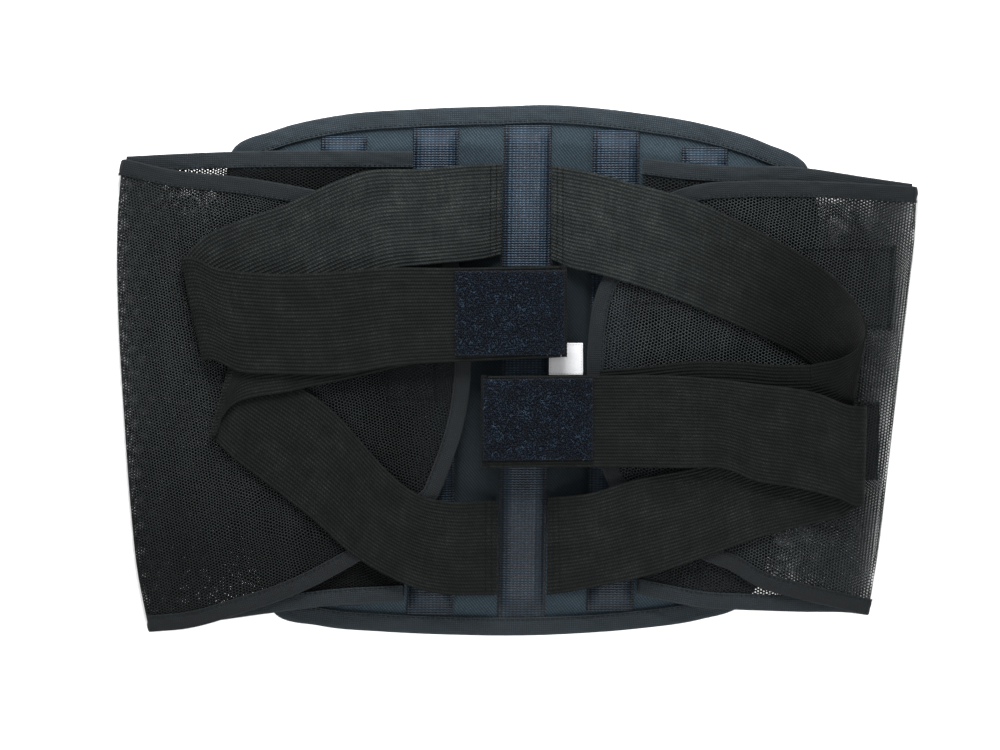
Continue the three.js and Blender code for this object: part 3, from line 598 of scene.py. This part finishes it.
ELASTIC_PAINTED_LIGHT = {  # gain, which paints each band lit or shaded as the light falls on it and darker where it lies under another, and how far painted shade falls off along the band
    "elastic_upper_left": (0.55, 0.72),
    "elastic_upper_right": (0.57, 0.17),
    "elastic_tab": (0.22,),
    "elastic_lower_left": (0.21,),
    "elastic_lower_right": (0.25,),
    "elastic_under_right": (0.12,),
}
M = {
    **{name: elastic_material(name, *tone) for name, tone in ELASTIC_PAINTED_LIGHT.items()},
    "webbing": webbing_material(0.25),
    # Painted shade: the panel cloth is darker in its middle, where the wings shade it.
    "panel_cloth": twill_material("panel_twill", 0.34, (24, 33, 40), (55, 69, 78), (98, 114, 124), middle=0.35),
    "lining": twill_material("lining_knit", 0.33, (22, 25, 28), (40, 44, 48), (64, 69, 74), 1.6),
    # Painted shade: the panel and flap tapes darken towards the low end.
    "binding": tape_material("binding_panel", 0.48, 0.68),
    "binding_base": tape_material("binding_wing", 0.24),
    "binding_flap": tape_material("binding_flap", 0.14, 0.75),
    # Painted shade: the base layers of net, which lie under the flaps, get lower gains than the flaps over them.
    "left_base_net": net_material("net_left_base", 0.08, -0.1, 5.0, 1.2, 0.0, 1.92, 0.6, 0.8),
    "left_flap_net": net_material("net_left_flap", 0.25, 0.1, -5.0, 0.35, 0.1, 1.92, 0.5, 0.8),
    "right_base_net": net_material("net_right_base", 0.14, -0.012, 4.0, 0.55, 0.95, 2.05),
    "right_flap_net": net_material("net_right_flap", 0.3, 0.012, -4.0, 0.0, 0.6, 2.05),
    "hook": pile_material("hook_base", 0.14, (5, 13, 22), (16, 31, 48), (46, 70, 94)),
    "hook_tuft": pile_material("hook_tufts", 0.27, (4, 11, 20), (24, 44, 66), (112, 146, 182), 0.5),
    "loop": pile_material("loop_pile", 0.2, (8, 10, 14), (22, 26, 34), (44, 50, 60), 0.8),
    "label": plain_material("label_satin", (236, 238, 242), (250, 250, 252), 0.55, scale=0.9, gain=0.6),
    "steel": plain_material("stay_steel", (120, 122, 124), (168, 170, 172), 0.3, 1.0, 0.4, gain=1.0),
    "thread": plain_material("thread", (24, 29, 33), (52, 60, 66), 0.8, scale=2.0, gain=0.25, gloss=0.1),
    "black_thread": plain_material("black_thread", (20, 22, 22), (44, 47, 46), 0.85, 0.0, 2.0, 0.16, 0.05),
    "white_thread": plain_material("label_thread", (150, 156, 166), (196, 202, 210), 0.6, gain=0.5),
}


# ---- plan shapes ----
def coons(top, low, start, end, n, m):
    """A plan grid between four edges: n along from start to end, m across from top to low."""
    t, l = curve(top, n - 1), curve(low, n - 1)
    s, e = curve(start, m - 1), curve(end, m - 1)
    u = np.linspace(0, 1, n)[:, None, None]
    v = np.linspace(0, 1, m)[None, :, None]
    ruled = (1 - v) * t[:, None] + v * l[:, None] + (1 - u) * s[None] + u * e[None]
    corners = (1 - u) * ((1 - v) * t[0] + v * l[0]) + u * ((1 - v) * t[-1] + v * l[-1])
    return ruled - corners


def quad(corners, n, m):
    """A plan grid between four corners."""
    a, b, c, d = np.array(corners, float)
    return coons([a, b], [d, c], [a, d], [b, c], n, m)


def inset_from(outline, x, y):
    """Distance of each point from a closed outline, in mm."""
    p = np.stack([np.ravel(x), np.ravel(y)], 1)
    best = np.full(len(p), 1e9)
    for a, b in zip(outline, np.roll(outline, -1, 0)):
        d = b - a
        t = np.clip(((p - a) @ d) / (d @ d), 0, 1)
        best = np.minimum(best, np.hypot(*(p - a - t[:, None] * d).T))
    return best.reshape(np.shape(x))


def joined(pieces, closed=False, step=1.6, reach=17):
    """Edge pieces as one path with inward directions, mitred where two pieces meet. Inward is to the left."""
    curves = [curve(p, max(int(path_length(p)[-1] / step), 3)) for p in pieces]
    normals = [plan_normals(c) for c in curves]
    path, inward = [], []
    count = len(curves)
    for k, (c, n) in enumerate(zip(curves, normals)):
        t = np.stack([n[:, 1], -n[:, 0]], 1)
        d = path_length(c)
        slide = np.zeros(len(c))
        for other, here, along in ((k - 1, 0, d), (k + 1, -1, d[-1] - d)):
            if not closed and not 0 <= other < count:
                continue
            m = n[here] + normals[other % count][-1 if here == 0 else 0]
            m = m / (m @ n[here])
            slide = slide + (m @ t[here]) * np.clip(1 - along / reach, 0, 1)
        last = len(c) if (not closed and k == count - 1) else len(c) - 1
        path.append(c[:last])
        inward.append((n + t * slide[:, None])[:last])
    return np.concatenate(path), np.concatenate(inward)


# ---- tapes, elastic and fitting ----
TAPE_RING = [  # outline of a folded tape: share of its width in from the edge, share of its half thickness
    (1.0, 0.55), (0.985, 0.95), (0.95, 1.0), (0.88, 0.84), (0.83, 0.8), (0.76, 0.88), (0.6, 0.98), (0.4, 1.0),
    (0.2, 0.98), (0.06, 0.9), (-0.03, 0.66), (-0.06, 0.3),
]


def bind(name, place, far, half, material, closed=False, seed=0, width=TAPE_WIDTH, pucker=0.14):
    """Tape folded over an edge. place(a) gives points and normals a fraction of the way in from the edge."""
    outer = np.array(TAPE_RING)
    ring = np.r_[outer, outer[::-1] * [1, -1]]
    inner = ring[::-1] * [1, 0.45]
    inner[:, 0] = np.maximum(inner[:, 0], 0.03)
    ring = np.r_[ring, inner]
    rings = np.zeros((len(far), len(ring), 3))
    uv = np.zeros((len(far), len(ring), 2))
    for i, (a, b) in enumerate(ring):
        p, q = place(a)
        puff = pucker * np.sin(tau * far / 3.0 + 2.5 * a) * exp(-(((a - 0.6) / 0.32) ** 2))
        fine = 0.12 * noise(far + 9 * a, 0 * far + 12 * a, 7, seed)
        wrinkle = fine + 0.24 * noise(far + 14 * a, 0 * far + 30 * a, 17, seed + 1)
        puff = puff + wrinkle * (1 if closed else 1.6) * (0.4 + 0.6 * (a < 0.8))
        rings[:, i] = p + q * (b * half * (1 + puff))[:, None]
        uv[:, i] = np.stack([far, np.full(len(far), a * width + (0 if b > 0 else 40))], 1)
    return swept(name, rings, uv, material, closed)


def paired(rows, step):
    """Control rows (upper point, lower point), resampled evenly along the middle of the band."""
    rows = np.asarray(rows, float)
    d = path_length(rows.mean(1))
    q = hermite(rows.reshape(len(rows), 6), d, np.linspace(0, d[-1], 40 * len(d)))
    d = path_length((q[:, :3] + q[:, 3:]) / 2)
    t = np.linspace(0, d[-1], int(d[-1] / step) + 1)
    return sampled(q, d, t).reshape(-1, 2, 3), d[-1]


def edges(rows, level):
    """Upper and lower edge points from a table's rows."""
    return [[(x0, y0, (z or [level])[0]), (x1, y1, (z or [level])[-1])] for x0, y0, x1, y1, *z in rows]


def turn_rows(fold):
    """Rows round a half turn from the lower run to the upper one, on the side away from the belt's middle."""
    (ux, uy, *_), (lx, ly, *_) = fold
    out = np.array([-(ly - uy), lx - ux]) / hypot(lx - ux, ly - uy)
    if out[0] * ux < 0:
        out = -out
    rows = []
    for a in np.linspace(-pi / 2, pi / 2, 13):
        row = []
        for x, y, z0, z1 in fold:
            r = (z1 - z0) / 2
            row.append([x + out[0] * r * cos(a), y + out[1] * r * cos(a), (z0 + z1) / 2 + r * sin(a)])
        rows.append(row)
    return rows


def elastic(name, rows, seed, material, wave):
    """A ribbed elastic band between paired edges, its ribs modelled."""
    edge, length = paired(rows, 1.9)
    width = norm(edge[:, 0] - edge[:, 1], axis=1).mean()
    m = 4 * RIBS + 1
    w = np.linspace(0, 1, m)[None, :, None]
    g = edge[:, None, 0] * (1 - w) + edge[:, None, 1] * w
    d = np.linspace(0, length, len(g))[:, None] + np.zeros(m)
    across = (np.linspace(0, 1, m) - 0.5) * width + np.zeros((len(g), 1))
    ends = smooth(d / 22) * smooth((length - d) / 22)
    g = g + grid_normals(g) * (wave * noise(d, across, 62, seed) * ends)[..., None]
    edge_share = smooth((width / 2 - np.abs(across)) / 1.4)
    rib = 0.06 * np.cos(tau * across / width * RIBS) * edge_share + 0.035 * noise(d, across, 3.1, seed + 5)
    thickness = (ELASTIC - 0.2) * (0.72 + 0.28 * edge_share)
    uv = np.stack([d, across * RIBS * RIB_PITCH / width], 2)
    return thick(name, g, thickness, M[material], rib, uv), g, length


def face_up(g):
    n = grid_normals(g)
    return -n if n[..., 2].mean() < 0 else n


def merge(name, pieces):
    """Several meshes as one piece."""
    bm = bmesh.new()
    mats = []
    for p in pieces:
        start = len(bm.faces)
        bm.from_mesh(p.data)
        bm.faces.ensure_lookup_table()
        (material,) = p.data.materials
        if material not in mats:
            mats.append(material)
        for f in bm.faces[start:]:
            f.material_index = mats.index(material)
    mesh = bpy.data.meshes.new(name)
    bm.to_mesh(mesh)
    bm.free()
    for m in mats:
        mesh.materials.append(m)
    for p in pieces:
        bpy.data.objects.remove(p)
    return linked(name, mesh)


def fit(piece, body, slot, *nodes):
    """Put a piece on a body, in place of CAD nodes. slot is not used."""
    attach(piece, body)
    if nodes:
        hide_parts(*nodes)


def taped(prefix, suffix, place, material, far, seed):
    """Tape over a cloth's edge, and the thread on its two faces."""
    tape = bind(prefix + "_tape" + suffix, place, far, TAPE_HALF, M[material], False, seed)
    c, u = place(STITCH_IN)
    rows = [stitches(c + u * s * THREAD_LIFT, u * s, M["thread"]) for s in (1, -1)]
    return tape, merge(prefix + "_thread" + suffix, rows)


# ---- back panel ----
panel_edge = np.concatenate([curve(s, 90)[:-1] for s in PANEL_SIDES])


def seam_dip(x, y):
    """1 on the seams beside each stay channel, falling to 0 a few mm away."""
    dip = 0 * x
    for xt, xl, w, yt, yl in CHANNELS:
        centre = xt + (xl - xt) * (yt - y) / (yt - yl)
        inside = smooth((yt - y) / 6) * smooth((y - yl) / 6)
        off = np.abs(x - centre) - (w / 2 - 0.8)
        dip = np.maximum(dip, np.exp(-((off / 2.5) ** 2)) * inside)
    return dip


def cover_height(x, y):
    d = inset_from(panel_edge, x, y)
    edge = 2.3 + 0.5 * smooth((d - 9) / 5) + (COVER_TOP - 2.8) * smooth((d - 12.5) / 11)
    quilt = -1.9 * seam_dip(x, y) * smooth((d - 14) / 8)
    soft = 0.28 * noise(x, y, 70, 3) * smooth((d - 18) / 12)
    crease = 0.1 * noise(x, y * 0.35, 11, 8) * smooth((d - 12) / 8)
    return edge + quilt + soft + crease - 0.15


plan = coons(PANEL_SIDES[0], PANEL_SIDES[2][::-1], PANEL_SIDES[3][::-1], PANEL_SIDES[1], 236, 210)
x, y = plan[..., 0], plan[..., 1]
depth = inset_from(panel_edge, x, y)
top = np.dstack([x, y, cover_height(x, y)])
low = np.dstack([x, y, 1.75 - 0.6 * smooth((depth - 9) / 8)])
cover = shell("panel_cushion", top, low, plan, M["panel_cloth"])
fit(cover, "back_panel", "panel_cloth", "panel_cover", "panel_foam_core")

lining_z = 0.45 + 0.8 * (1 - smooth((depth - 9) / 5)) + 0.12 * noise(x, y, 9, 4) * smooth((depth - 12) / 6)
lining_z = lining_z + 0.3 * seam_dip(x, y) * smooth((depth - 12) / 6)
lining_grid = np.dstack([x, y, lining_z])[::2, ::2]
lining = thick("panel_lining_cloth", lining_grid, CLOTH, M["lining"], uv=plan[::2, ::2])
fit(lining, "back_panel", "lining", "panel_lining")
cloth_area(np.dstack([x, y, 0 * x])) * 1e-6

path, inward = joined([s[::-1] for s in PANEL_SIDES[::-1]], closed=True)
far = path_length(np.r_[path, path[:1]])[:-1]


def panel_place(a):
    lift = 0.55 * smooth((a - 0.3) / 0.7)
    return np.c_[path + inward * (a * PANEL_TAPE), PANEL_EDGE_Z + lift + 0 * far], upward(len(far))


panel_tape = bind("panel_edge_tape", panel_place, far, PANEL_TAPE_HALF, M["binding"], True, 5, PANEL_TAPE)
line = np.c_[path + inward * (STITCH_IN * PANEL_TAPE), 0 * far + PANEL_EDGE_Z + 0.5 + PANEL_THREAD_LIFT]
line = np.r_[line, line[:1]]
up = upward(len(line))
under = line - [0, 0, 2 * PANEL_THREAD_LIFT - 0.02]
panel_thread = merge("panel_edge_thread.001", [stitches(line, up, M["thread"]), stitches(under, -up, M["thread"])])
fit(panel_tape, "back_panel", "binding", "panel_binding")
fit(panel_thread, "back_panel", "binding")

# ---- stay channels ----
seams = []
for number, (xt, xl, w, yt, yl) in enumerate(CHANNELS, 1):
    long = yt - yl
    f = np.linspace(0, 1, int(long / 0.34))[:, None]
    edge = [-w / 2, -w / 2 + 0.5]
    across = np.concatenate([edge, np.linspace(-w / 2 + 1.2, w / 2 - 1.2, 31), -np.array(edge[::-1])])
    gx = xt + (xl - xt) * f + across
    gy = yt + (yl - yt) * f + 0 * gx
    end = smooth(f * long / 12) * smooth((1 - f) * long / 12)
    bulge = 1 - smooth((np.abs(across) - 6.9) / 3.4)
    sink = smooth((np.abs(across) - (w / 2 - 2.6)) / 1.6)
    base = np.minimum(CHANNEL_BASE + 0.2, cover_height(gx, gy) + 0.62)
    z = base + (CHANNEL_TOP - 0.55 - CHANNEL_BASE) * bulge * end - 0.55 * sink * end
    g = np.dstack([gx, gy, z + 0.1 * noise(gx * 0.4, gy, 19, number)])
    uv = np.dstack([f * long + 0 * gx, across + 0 * gy])
    relief = 0.07 * np.sin(tau * uv[..., 0] / WEB_PITCH) * smooth((w / 2 - 0.9 - np.abs(uv[..., 1])) / 0.8)
    piece = thick("stay_channel_%d_webbing" % number, g, CLOTH, M["webbing"], relief, uv)
    fit(piece, "back_panel", "webbing", "stay_channel_%d" % number)
    above = g[4:-4:5]
    normals = face_up(above)
    for col in (3, -4):
        n = normals[:, col]
        seams.append(stitches(above[:, col] + n * 0.34, n, M["thread"], *SEAM_STITCH))
    for col in (3, -4):
        line = np.stack([gx[6:-6:6, col], gy[6:-6:6, col], 0 * gx[6:-6:6, col] + 0.12], 1)
        seams.append(stitches(line, -upward(len(line)), M["thread"], *UNDER_STITCH))
fit(merge("channel_seam_thread", seams), "back_panel", "webbing")

# ---- side wings ----
for side in ("left", "right"):
    W = WINGS[side]
    body = side + "_flap"
    corner, other = np.array(W["fold"], float)
    along = (other - corner) / norm(other - corner)
    inward_plan = np.array([-along[1], along[0]])
    inward_plan = inward_plan * (1 if (inward_plan[0] > 0) == (side == "left") else -1)
    sag_seed = 1 if side == "left" else 2

    def height(layer, p):
        """Height of a wing's layer over points in plan: low at the fold, risen where it lies on the panel."""
        z0, z1 = (WING_LOW, WING_HIGH) if layer == "base" else (FLAP_LOW, FLAP_HIGH)
        s0, s1 = RISE[layer]
        x, y = p[..., 0], p[..., 1]
        d = (x - corner[0]) * inward_plan[0] + (y - corner[1]) * inward_plan[1]
        sag = 0.3 * noise(x, y, 85, 20 + sag_seed) * smooth(d / 30)
        sag = sag + 0.16 * noise(x, y, 30, 30 + sag_seed) * smooth(d / 20)
        return z0 + (z1 - z0) * smooth((d - s0) / (s1 - s0)) + np.clip(sag, -0.35, 0.35)

    def net_flat(p):
        q = p[..., :2] - corner
        return np.stack([q @ inward_plan, q @ along], -1)

    # base layer
    start_base = [W["baseTop"][0], *W["edge"], W["baseLow"][0]]
    plan = coons(W["baseTop"], W["baseLow"], start_base, [W["baseTop"][-1], W["baseLow"][-1]], 150, 150)
    g = np.dstack([plan, height("base", plan)])
    base = thick(side + "_wing_base_net", g, CLOTH, M[side + "_base_net"], uv=net_flat(g))
    fit(base, "back_panel", "mesh", side + "_wing_base")
    cloth_area(g) * 1e-6
    for edge, label in (("baseTop", "top"), ("baseLow", "low")):
        line = W[edge]
        if (side == "left") == (edge == "baseTop"):
            line = line[::-1]
        p, d = joined([line])

        def base_place(a):
            q = p + d * (a * TAPE_WIDTH)
            return np.c_[q, height("base", q)], upward(len(q))

        tape, thread = taped(side + "_wing_base", "_" + label, base_place, "binding_base", path_length(p), len(p))
        fit(tape, "back_panel", "binding", "%s_wing_base_binding_%s" % (side, label))
        fit(thread, "back_panel", "binding")

    # folded-over layer with its bend
    turn = np.linspace(-pi / 2, pi / 2, BEND_STEPS)[:-1]
    outer = [W["flapTop"][0], *W["edge"], W["flapLow"][0]]
    plan = coons(W["flapTop"], W["flapLow"], outer, W["end"], 170, 150)
    bend = [np.c_[plan[0] - inward_plan * (BEND_R * cos(t)),
                  np.full(len(plan[0]), WING_LOW + BEND_R + BEND_R * sin(t))] for t in turn]
    g = np.concatenate([np.array(bend), np.dstack([plan, height("flap", plan)])])
    flat = net_flat(g)
    flat[:len(turn), :, 0] = flat[len(turn), :, 0] - BEND_R * (pi / 2 - turn)[:, None]
    sheet = thick(side + "_wing_flap_net", g, CLOTH, M[side + "_flap_net"], uv=flat)
    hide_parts(side + "_wing_flap", side + "_wing_bend")
    cloth_area(g) * 1e-6
    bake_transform(sheet)

    # tape round the folded-over layer, and round its bend at both ends
    pieces = [W["flapTop"], W["end"], W["flapLow"][::-1]]
    if side == "left":
        pieces = [piece[::-1] for piece in pieces[::-1]]
    p, d = joined(pieces)
    angles = np.linspace(-pi / 2, pi / 2, 11)[:-1]

    def bend_part(at, direction, turn, a):
        q = [[*(at - inward_plan * BEND_R * cos(t) + direction * (a * TAPE_WIDTH)),
              WING_LOW + BEND_R + BEND_R * sin(t)] for t in turn]
        return np.array(q), np.array([[*(-inward_plan * cos(t)), sin(t)] for t in turn])

    def flap_place(a):
        q = p + d * (a * TAPE_WIDTH)
        s, sn = bend_part(p[0], d[0], angles, a)
        e, en = bend_part(p[-1], d[-1], angles[::-1], a)
        return np.r_[s, np.c_[q, height("flap", q)], e], np.r_[sn, upward(len(q)), en]

    tape, thread = taped(side + "_wing_flap", "", flap_place, "binding_flap", path_length(flap_place(0.0)[0]), 7)
    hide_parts(side + "_wing_flap_binding")
    for piece in (tape, thread):
        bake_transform(piece)

    # sewn-on loop patches
    for label, corners in W["patches"]:
        name = side + "_" + label
        plan = quad(corners, 60, 60)
        z = height("flap", plan)
        relief = 0.12 * noise(plan[..., 0], plan[..., 1], 1.7, 5) + 0.06 * noise(plan[..., 0], plan[..., 1], 4.5, 6)
        piece = thick(name + "_pile", np.dstack([plan, z - 0.75]), 0.8, M["loop"], relief)
        fit(piece, body, "loop", name)
        grid = np.dstack([plan, z + 0.33])
        lines = (grid[3], grid[-4], grid[:, 3], grid[:, -4])
        rows = [stitches(line, upward(60), M["black_thread"], *BLACK_STITCH) for line in lines]
        fit(merge(name + "_thread", rows), body, "loop")


# ---- elastic bands ----
def band(label, rows, seed, material, wave):
    """A band's elastic, and the grid it was made from."""
    piece, g, long = elastic(label + "_elastic", rows, seed, material, wave)
    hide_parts(label)
    cloth_area(g) / long * MM
    return piece, g


def end_stitching(label, g, rows, body):
    n = face_up(g)
    lines = [stitches(g[i] + n[i] * 0.66, n[i], M["black_thread"], *BLACK_STITCH) for i in rows]
    fit(merge(label + "_thread", lines), body, "elastic")


for seed, (label, rows) in enumerate(STATIC_BANDS.items(), 40):
    material = "elastic_" + label.replace("_band", "")
    piece, g = band(label, edges(rows, STATIC_LEVEL), seed, material, 0.22)
    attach(piece, "back_panel")
    end_stitching(label, g, (2, 4), "back_panel")
for seed, (label, spec) in enumerate(RETURN_BANDS.items(), 60):
    side = label.split("_")[0]
    rows = (turn_rows(spec["fold"]) if spec["fold"] else []) + edges(spec["rows"], spec["level"])
    material = "elastic_tab" if spec["fold"] else "elastic_under_right"
    piece, g = band(label, rows, seed, material, 0.16)
    start, end = (tuple(v * MM for v in at) for at in spec["blend"])
    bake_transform(piece)
    if label.endswith("pull_strap"):
        end_stitching(label, g, (-6, -4), side + "_pull")


# ---- hook tape, hems and label ----
HOOK_SECTIONS = [  # along the curl, height, half width
    (0, -0.1, 0.3), (0.1, 0.5, 0.28), (0.42, 0.92, 0.27), (0.85, 0.86, 0.22), (1.05, 0.5, 0.13),
]


def pile(corners, z, spacing=1.12, tall=1.05):
    """Rows of tiny curled hooks on a flat patch."""
    c = np.array(corners, float)
    lo, hi = c.min(0) + 0.5, c.max(0) - 0.5
    points, faces = [], []
    nx, ny = int((hi[0] - lo[0]) / spacing), int((hi[1] - lo[1]) / spacing)
    for i in range(nx):
        for j in range(ny):
            x = lo[0] + (i + 0.5 + 0.5 * (j % 2) + RNG.uniform(-0.24, 0.24)) * (hi[0] - lo[0] - spacing / 2) / nx
            y = lo[1] + (j + 0.5 + RNG.uniform(-0.24, 0.24)) * (hi[1] - lo[1]) / ny
            a = RNG.uniform(0, tau)
            t, s = np.array([cos(a), sin(a), 0]), np.array([-sin(a), cos(a), 0])
            size = RNG.uniform(0.75, 1.15)
            faces += bar_faces(len(points))
            for u, h, w in HOOK_SECTIONS:
                p = [x, y, z] + t * u * size * 0.9 + [0, 0, h * tall * size]
                points += [p + s * w, p + [0, 0, 0.2], p - s * w, p - [0, 0, 0.16]]
    return make("hooks", points, faces, None, M["hook_tuft"])


for side in ("left", "right"):
    body = side + "_pull"
    z0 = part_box(side + "_hook_patch")[0][2] / MM
    plan = quad(HOOKS[side], 60, 50)
    flat_z = 0 * plan[..., 0] + z0
    relief = 0.06 * noise(plan[..., 0], plan[..., 1], 2.0, 3)
    plate = thick("plate", np.dstack([plan, flat_z + 0.4]), 0.6, M["hook"], relief)
    grid = np.dstack([plan, flat_z + 0.75])
    rows = [stitches(grid[k], upward(50), M["thread"]) for k in (2, -3)]
    patch = merge(side + "_hook_tape", [plate, pile(HOOKS[side], z0 + 0.62), *rows])
    fit(patch, body, "hook", side + "_hook_patch")

    # folded hem at the grip end
    (x0, y0, zc), (x1, y1, _) = np.array(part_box(side + "_tab_hem")) / MM
    ys = np.linspace(y0, y1, 4 * RIBS + 1)
    rib = 0.13 * np.cos(tau * (ys - y0) / (y1 - y0) * RIBS)
    ring = []
    for t in np.linspace(0, tau, 21)[:-1]:
        cx, cz = cos(t), sin(t)
        px = (x0 + x1) / 2 + (x1 - x0) / 2 * np.sign(cx) * abs(cx) ** 0.75
        pz = zc + 1.4 + 1.3 * np.sign(cz) * abs(cz) ** 0.75
        ring.append(np.c_[px + rib * cx, ys, pz + rib * cz])
    rings = np.array(ring).transpose(1, 0, 2)
    uv = np.zeros((*rings.shape[:2], 2))
    uv[..., 0] = np.linspace(0, 12, rings.shape[1])[None]
    uv[..., 1] = ((ys - ys.mean()) / (y1 - y0) * RIBS * RIB_PITCH)[:, None]
    hem = swept(side + "_tab_hem_roll", rings, uv, M["elastic_tab"])
    fit(hem, body, "elastic", side + "_tab_hem")

label_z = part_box("label")[0][2] / MM
plan = quad(LABEL, 40, 40)
wavy = 0.14 * noise(plan[..., 0], plan[..., 1], 16, 2)
label = thick("care_label", np.dstack([plan, label_z + 0.2 + wavy]), 0.26, M["label"])
fit(label, "back_panel", "label", "label")
grid = np.dstack([plan, label_z + 0.38 + wavy])
lines = [grid[k] for k in (2, -3)] + [grid[:, k] for k in (2, -3)]
rows = [stitches(line, upward(40), M["white_thread"], *LABEL_STITCH) for line in lines]
fit(merge("care_label_thread", rows), "back_panel", "label")

# ---- carried-over parts ----
for number in range(1, 6):
    for s in bpy.data.objects["stay_%d" % number].material_slots:
        s.material = M["steel"]

# ---- studio ----
bpy.ops.mesh.primitive_plane_add(size=40, location=(0, 0, -0.0006))
floor = bpy.context.object
floor.name = "studio_floor"
white = Nodes("studio_white")
grain = white.noise(white.put("TexCoord").outputs["Object"], 3.0, 3.0, z=3.0)
tint = white.shaded((1, 1, 1), grain, 0.3, 0.7, 0.9, 0.92)
floor.data.materials.append(white.finish(tint, 0.9, None, 0.1))

world = bpy.data.worlds.new("studio")
bpy.context.scene.world = world
world.use_nodes = True
background = world.node_tree.nodes["Background"].inputs
background[0].default_value = (1, 1, 1, 1)
background[1].default_value = 0.4


def lamp(name, at, aim, size, power):
    light = bpy.data.lights.new(name, "AREA")
    light.shape = "SQUARE"
    light.size = size
    light.energy = power
    obj = linked(name, light)
    obj.location = at
    obj.rotation_euler = (Vector(aim) - Vector(at)).to_track_quat("-Z", "Y").to_euler()


lamp("key_top", (-0.05, 0.88, 0.44), (0, 0.1, 0), 0.5, 32)
lamp("low_side", (0.15, -0.85, 0.42), (0, -0.1, 0), 0.6, 15)
lamp("left_side", (-0.95, -0.05, 0.4), (-0.2, 0, 0), 0.5, 3.5)
lamp("right_side", (0.95, -0.05, 0.4), (0.2, 0, 0), 0.5, 2)
lamp("overhead", (0.3, 0.3, 4.2), (0, 0, 0), 2.2, 34)

camera_data = bpy.data.cameras.new("view")
camera_data.lens = 360
camera_data.sensor_width = 36
camera_data.clip_end = 100
camera = linked("view", camera_data)
camera.location = (-0.0096, -0.0033, 6.01)
bpy.context.scene.camera = camera
bpy.context.scene.view_settings.view_transform = "Standard"
